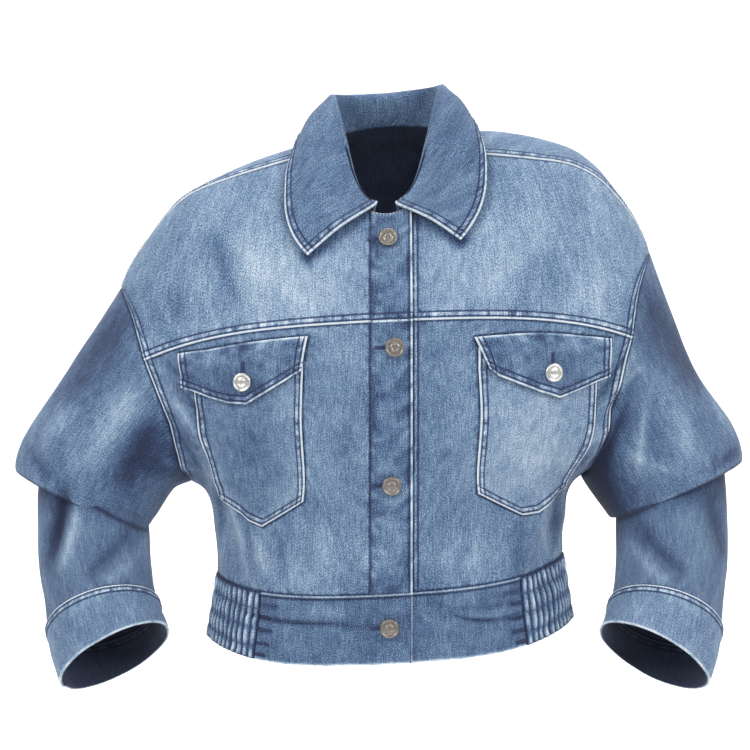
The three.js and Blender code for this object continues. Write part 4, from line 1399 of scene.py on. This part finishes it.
def make_placket():
    def place(rows, columns, off):
        ring, share = grid(rows, columns)
        across = lerp(PLACKET["right"], PLACKET["left"], share)
        return body(turn_at(across, ring), ring, off + LAID_ON + DOUBLE)

    def ripples(piece):
        """Low ripples that run in from the band's long edges, and a roll along its free edge."""
        ripple = wander(piece.u / 40 + 7, piece.v / 7 + 2)
        edge = piece.edges["right"]
        roll = 0.5 * fall(edge, 3.6, 1.4) - 0.35 * hump(edge, FIRST_ROW, 0.7)
        return 0.5 * ripple * np.exp(-piece.nearest(["left", "right"]) / 9) + roll

    def rubbed_edge(piece):
        """The free edge is rubbed light, with a dark row of stitches behind it."""
        edge = piece.edges["right"]
        light = 0.6 * fall(edge, 1.5, 1.1) * (1 + 0.4 * wander(piece.v / 6, 3))
        return blotches(piece) + light - 0.46 * hump(edge, FIRST_ROW + 0.2, 0.8)

    def yoke_seam(piece):
        """The height over the yoke's seam, which runs on across the band."""
        over = piece.top[place_of(placket_rings, YOKE_SEAM)] - piece.top
        return np.where(over >= -0.3, np.abs(over), FAR)

    placket_rings = rings(PLACKET_TOP, BAND_SEAM, 1.9)
    piece, made = cloth(
        "placket", place, placket_rings, shares(40, FINE_STEP), DOUBLE, "band", base=0.41,
        worn="top", relief=ripples, shade=rubbed_edge, cross=yoke_seam,
    )
    for edge, inset in PLACKET_ROWS.items():
        stitch_edges("placket", piece, edge, insets=(inset,))
    for inset in (FIRST_ROW, SECOND_ROW):
        i = place_of(yoke_seam(piece)[:, 0], inset)
        sew("placket", piece.points[i], piece.out[i], 1.0, 1.0)


def band_place(turn_of, lift=None):
    """A place function for a part of the waistband between the turns that a ring gives."""

    def spots(rows, columns):
        ring, share = grid(lerp(BAND_SEAM, HEM, rows), columns)
        start, end = turn_of(ring)
        return lerp(start, end, share), ring

    def place(rows, columns, off):
        turn, ring = spots(rows, columns)
        return body(turn, ring, off if lift is None else off + lift(turn, ring))

    return place


def band_ridge(piece):
    """A roll along the band's top seam, with short puckers below it."""
    top = piece.edges["top"]
    pucker = wander(piece.u / 5, piece.v / 30) * np.exp(-top / 10)
    return 1.1 * hump(top, 1.0, 1.2) - 0.4 * hump(top, BAND_ROW, 0.9) + 0.3 * pucker


def band_shade(piece, tails):
    """The roll and the hem are rubbed light, and stitches below the roll and beside the gathers lie dark."""
    top, side = piece.edges["top"], piece.edges["right"]
    hem = fall(piece.edges["bottom"], 1, 3)
    dark = sum(hump(top, tail["down"], 1.3) * (side < tail["long"]) for tail in tails)
    roll = 0.45 * hump(top, 1.1, 1.0) - 0.36 * hump(top, 3.4, 0.9)
    return roll + hem * (0.2 + 0.2 * wander(piece.u / 9, piece.v)) - 0.75 * dark


BAND_HEIGHT = 66
BAND_ROW = 3.2  # the stitch row under the waistband's roll, from its top
CLOSING_ROW = 2.2  # the stitch row along the closing edge, from it
# Rows of elastic thread that run on from the gathers into the waistband
THREAD_TAILS = table("down long", "13 21; 25 12; 39 17; 52 15; 63 13")


def make_waistband():
    def overlap(turn, ring):
        """The right front's band rises over the left one's end."""
        beside = turn_at(UNDERLAP, ring) - turn
        return (LAID_ON + DOUBLE) * fall(beside, 0, 8)

    right = band_place(lambda ring: (turn_at(PLACKET["left"], ring), -ELASTIC["from"] + 0 * ring), overlap)
    left = band_place(lambda ring: (turn_at(UNDERLAP, ring), ELASTIC["from"] + 0 * ring))
    behind = band_place(lambda ring: (ELASTIC["to"] + 0 * ring, 360 - ELASTIC["to"] + 0 * ring))
    parts = [
        ("waistband_right", right, 155, DOUBLE, (0.16, 0.07), "placket"),
        ("waistband_left", left, 150, CLOTH, (0.155, 0.07), "front_left"),
        ("waistband_back", behind, 290, DOUBLE, (0.29, 0.07), "back"),
    ]
    for node, place, width, thick, flat, on in parts:
        closing = node == "waistband_right"
        tails = [] if node == "waistband_back" else THREAD_TAILS
        piece, made = cloth(
            node, place, shares(BAND_HEIGHT, 2.0), shares(width, 2.4), thick, "band", base=0.345,
            worn="left bottom" if closing else "bottom", relief=band_ridge,
            shade=lambda plain: band_shade(plain, tails),
        )
        stitch_edges("waistband", piece, "top", insets=(BAND_ROW,))
        if closing:
            stitch_edges("waistband", piece, "left", insets=(CLOSING_ROW,))
        for tail in tails:
            i = place_of(piece.top[:, 0], tail["down"])
            last = piece.edges["right"][i] < tail["long"]
            sew("waistband", piece.points[i][last], piece.out[i][last])


# The last value darkens the hollows between the pleats as painted shade.
PLEAT = {"height": 3.4, "pinched": 0.35, "drift": 0.4, "sharp": 1.2, "light": 0.95, "hollow": 0.36}
PLEAT_STEPS = 10


def make_elastic(side):
    name = side_name(side)
    start, end = side * ELASTIC["from"], side * ELASTIC["to"]
    count, channels = ELASTIC["pleats"], ELASTIC["channels"]
    rows, columns = shares(BAND_HEIGHT, 1.7), np.linspace(0, 1, count * PLEAT_STEPS + 1)

    def pleats(down, share):
        """How far the pleats puff out, from 0 to about 1, less at the rows of elastic thread."""
        drift = wander(share * 9 + side, down * 2.2 + 5) + 0.4 * wander(share * 23, down * 6)
        ends = np.minimum(1, 12 * share * (1 - share))
        ridge = np.abs(np.sin((share * count + PLEAT["drift"] * drift * ends) * math.pi)) ** PLEAT["sharp"]
        puff = lerp(PLEAT["pinched"], 1, np.abs(np.sin(down * channels * math.pi)) ** 0.6)
        size = 0.85 + 0.3 * wander(share * count, down * channels + 9)
        return ridge * puff * size

    def place(rows, columns, off):
        down, share = grid(rows, columns)
        rise = np.where(off < -0.9, 0.0, PLEAT["height"] * pleats(down, share) + 0.4)
        return body(lerp(start, end, share), lerp(BAND_SEAM, HEM, down), off + rise)

    def light(piece):
        """Ridges are worn light, and painted shade darkens the hollows between them."""
        return PLEAT["light"] * pleats(piece.rows, piece.columns) - PLEAT["hollow"]

    piece, made = cloth(
        f"side_elastic_{name}", place, rows, columns, CLOTH, "elastic", base=0.34,
        sewn="top left right", shade=light, slot="elasticated_denim",
    )
    for k in range(channels + 1):
        i = place_of(rows, min(max(k / channels, 0.03), 0.96))
        sew("waistband", piece.points[i], piece.out[i])


def make_collar():
    ends = [collar_end(-1), collar_end(1)]

    def place(rows, columns, off):
        along, across = grid(rows * COLLAR_ROWS, lerp(*ends, columns))
        point = collar_form(across, along)
        near = np.clip(along, NUDGE, COLLAR_ROWS - NUDGE)
        out = way_out(collar_form, np.clip(across, ends[1] + 1, ends[0] - 1), near, 1, NUDGE)
        stand = smooth(along / 0.2)
        out[..., 2] = lerp(np.maximum(0, out[..., 2]), out[..., 2], stand)
        return point + unit(out) * (off + DOUBLE)[..., None]

    sample = np.linspace(0, 1, 200)
    line = collar_form(np.array([[-40.0]]), sample[:, None] * COLLAR_ROWS)
    rows = even_rows(sample, lengths(line, 0)[:, 0], FINE_STEP)
    piece, made = cloth(
        "collar", place, rows, shares(420, POCKET_STEP), DOUBLE, "band", base=0.365,
        laps="left right bottom", sewn="top",
    )
    stitch_edges("collar", piece, "bottom", start=1.0, end=1.0)
    stitch_edges("collar", piece, "left right", end=1.0, keep=rows * COLLAR_ROWS > 3.6)


# ---- Buttons and buttonholes

BUTTON_PROFILE = table(
    "radius height",
    """
    0.004 0; 0.34 0; 0.34 0.18; 0.9 0.2; 0.97 0.26; 1 0.34; 0.985 0.42; 0.95 0.48
    0.9 0.51; 0.85 0.5; 0.81 0.46; 0.78 0.42; 0.72 0.41; 0.5 0.435; 0.44 0.45; 0.41 0.48
    0.37 0.49; 0.33 0.48; 0.3 0.45; 0.2 0.44; 0.1 0.46; 0.004 0.465
    """,
)
BUTTON_SEGMENTS = 48


def make_button(node, point, out, radius, material, slot):
    across = unit(np.cross(UP, out))
    turns = np.arange(BUTTON_SEGMENTS)[:, None] * 2 * math.pi / BUTTON_SEGMENTS
    spokes = across * np.cos(turns) + np.cross(out, across) * np.sin(turns)
    rises = [LAID_ON + row["height"] * radius for row in BUTTON_PROFILE]
    circles = [point + out * h + spokes * row["radius"] * radius for h, row in zip(rises, BUTTON_PROFILE)]
    number = np.arange(len(circles) * BUTTON_SEGMENTS).reshape(-1, BUTTON_SEGMENTS)
    beside = np.roll(number, -1, 1)
    quads = np.stack([number[:-1], beside[:-1], beside[1:], number[1:]], -1).reshape(-1, 4)
    faces = [*quads.tolist(), number[0, ::-1].tolist(), number[-1].tolist()]
    dress(node, new_mesh(f"cap_{node}", np.concatenate(circles), faces), material, slot)


BUTTONHOLE = {"step": 0.62, "half": 2.0, "slit": 0.75, "under": 1.5, "lift": 0.3}


def buttonhole(centre, out, way, radius, length):
    """Close stitches across a slit that starts under a button's rim; way is its direction along the cloth."""
    start = centre + way * (radius - BUTTONHOLE["under"]) + out * BUTTONHOLE["lift"]
    way = unit(way - out * (way @ out))
    across = np.cross(out, way)
    count = int(length / BUTTONHOLE["step"])
    places = start + way * (np.arange(count)[:, None] * BUTTONHOLE["step"])
    half = across * BUTTONHOLE["half"]
    bars = stitches.setdefault("buttonholes", [])
    bars.append((places - half, places + half, np.repeat(out[None], count, 0)))
    for shift in (across * -BUTTONHOLE["slit"], across * BUTTONHOLE["slit"]):
        bars.append(((start + shift)[None], (start + shift + way * length)[None], out[None]))


def make_buttons(flap_buttons):
    for k, (across, z) in enumerate(BUTTONS):
        turn, ring = spot_at(across, z)
        out = body_out(turn, ring)
        point = body(turn, ring, LAID_ON + DOUBLE)
        make_button(f"button_{k + 1}", point, out, BUTTON_RADIUS, "front button", "front_button_metal")
        aside = unit(np.cross(out, UP))
        buttonhole(point, out, aside * -np.sign(aside[0]), BUTTON_RADIUS, 12)
    for side, (point, out) in flap_buttons.items():
        node, radius = f"flap_button_{side_name(side)}", FLAP_BUTTON["radius"]
        make_button(node, point, out, radius, "flap button", "flap_button_metal")
        buttonhole(point, out, UP, radius, 13)


def make_stitches():
    for group, rows in stitches.items():
        dress(None, stitch_mesh(group, rows), "thread", "washed_denim")


# ---- Stage


def aim(made, place, target):
    """Puts a camera or a light at a place and turns it to a target."""
    made.location = place
    made.rotation_euler = (Vector(target) - Vector(place)).to_track_quat("-Z", "Y").to_euler()


CAMERA = {"target": (-9, 0, -225), "degrees above": 3, "metres away": 2.7, "lens": 129.6, "sensor": 36}


def make_camera():
    """The camera looks at the middle of the picture from in front, a little above."""
    target = Vector(CAMERA["target"]) * MM
    lift = math.radians(CAMERA["degrees above"])
    data = bpy.data.cameras.new("camera")
    data.sensor_width, data.lens = CAMERA["sensor"], CAMERA["lens"]
    camera = link("camera", data)
    aim(camera, target + Vector((0, -math.cos(lift), math.sin(lift))) * CAMERA["metres away"], target)
    bpy.context.scene.camera = camera


def make_stage():
    """A pale floor that turns up into a backdrop."""
    wide, floor, near, far, bend, high = 8.0, -0.9, -7.0, 7.0, 1.6, 6.0
    turns = np.linspace(0, math.pi / 2, 25)[1:]
    profile = [(near, floor), (far - bend, floor)]
    profile += [(far - bend + bend * math.sin(t), floor + bend - bend * math.cos(t)) for t in turns]
    profile += [(far, high)]
    points = np.array([(x, y, z) for y, z in profile for x in (-wide, wide)])
    faces = [[2 * i, 2 * i + 1, 2 * i + 3, 2 * i + 2] for i in range(len(profile) - 1)]
    mesh = new_mesh("backdrop", points / MM, faces)
    mesh.shade_smooth()
    mesh.materials.append(Paint("pale_paper").finish({"Base Color": (0.93, 0.93, 0.93), "Roughness": 0.95}))
    link("backdrop", mesh)


def make_light(name, place, size, power, target=(0, 0, -0.22)):
    data = bpy.data.lights.new(name, "AREA")
    data.shape, data.energy = "RECTANGLE", power
    data.size, data.size_y = size
    aim(link(name, data), place, target)


def make_lights():
    world = bpy.data.worlds.new("studio")
    world.use_nodes = True
    background = world.node_tree.nodes["Background"]
    background.inputs["Color"].default_value = (1, 1, 1, 1)
    background.inputs["Strength"].default_value = 0.34
    bpy.context.scene.world = world
    make_light("left", (-2.0, -1.5, 1.3), (0.8, 1.2), 44)
    make_light("right", (2.1, -1.6, 1.2), (0.8, 1.2), 44)
    make_light("front", (0.3, -2.6, 1.6), (1.2, 1.0), 16)
    make_light("top", (0.2, 0.4, 2.4), (2.0, 1.4), 18)
    make_light("backdrop", (0.0, 2.4, 4.4), (4.0, 2.0), 420, (0, 6.2, -0.6))
    bpy.context.scene.view_settings.view_transform = "Standard"


make_camera()
make_stage()
make_lights()
found = {}
for side in (-1, 1):
    make_fronts(side)
    make_sleeve(side)
    make_cuff(side)
    make_pocket(side)
    found[side] = make_flap(side)
    make_elastic(side)
make_back()
make_placket()
make_waistband()
make_collar()
make_buttons(found)
make_stitches()
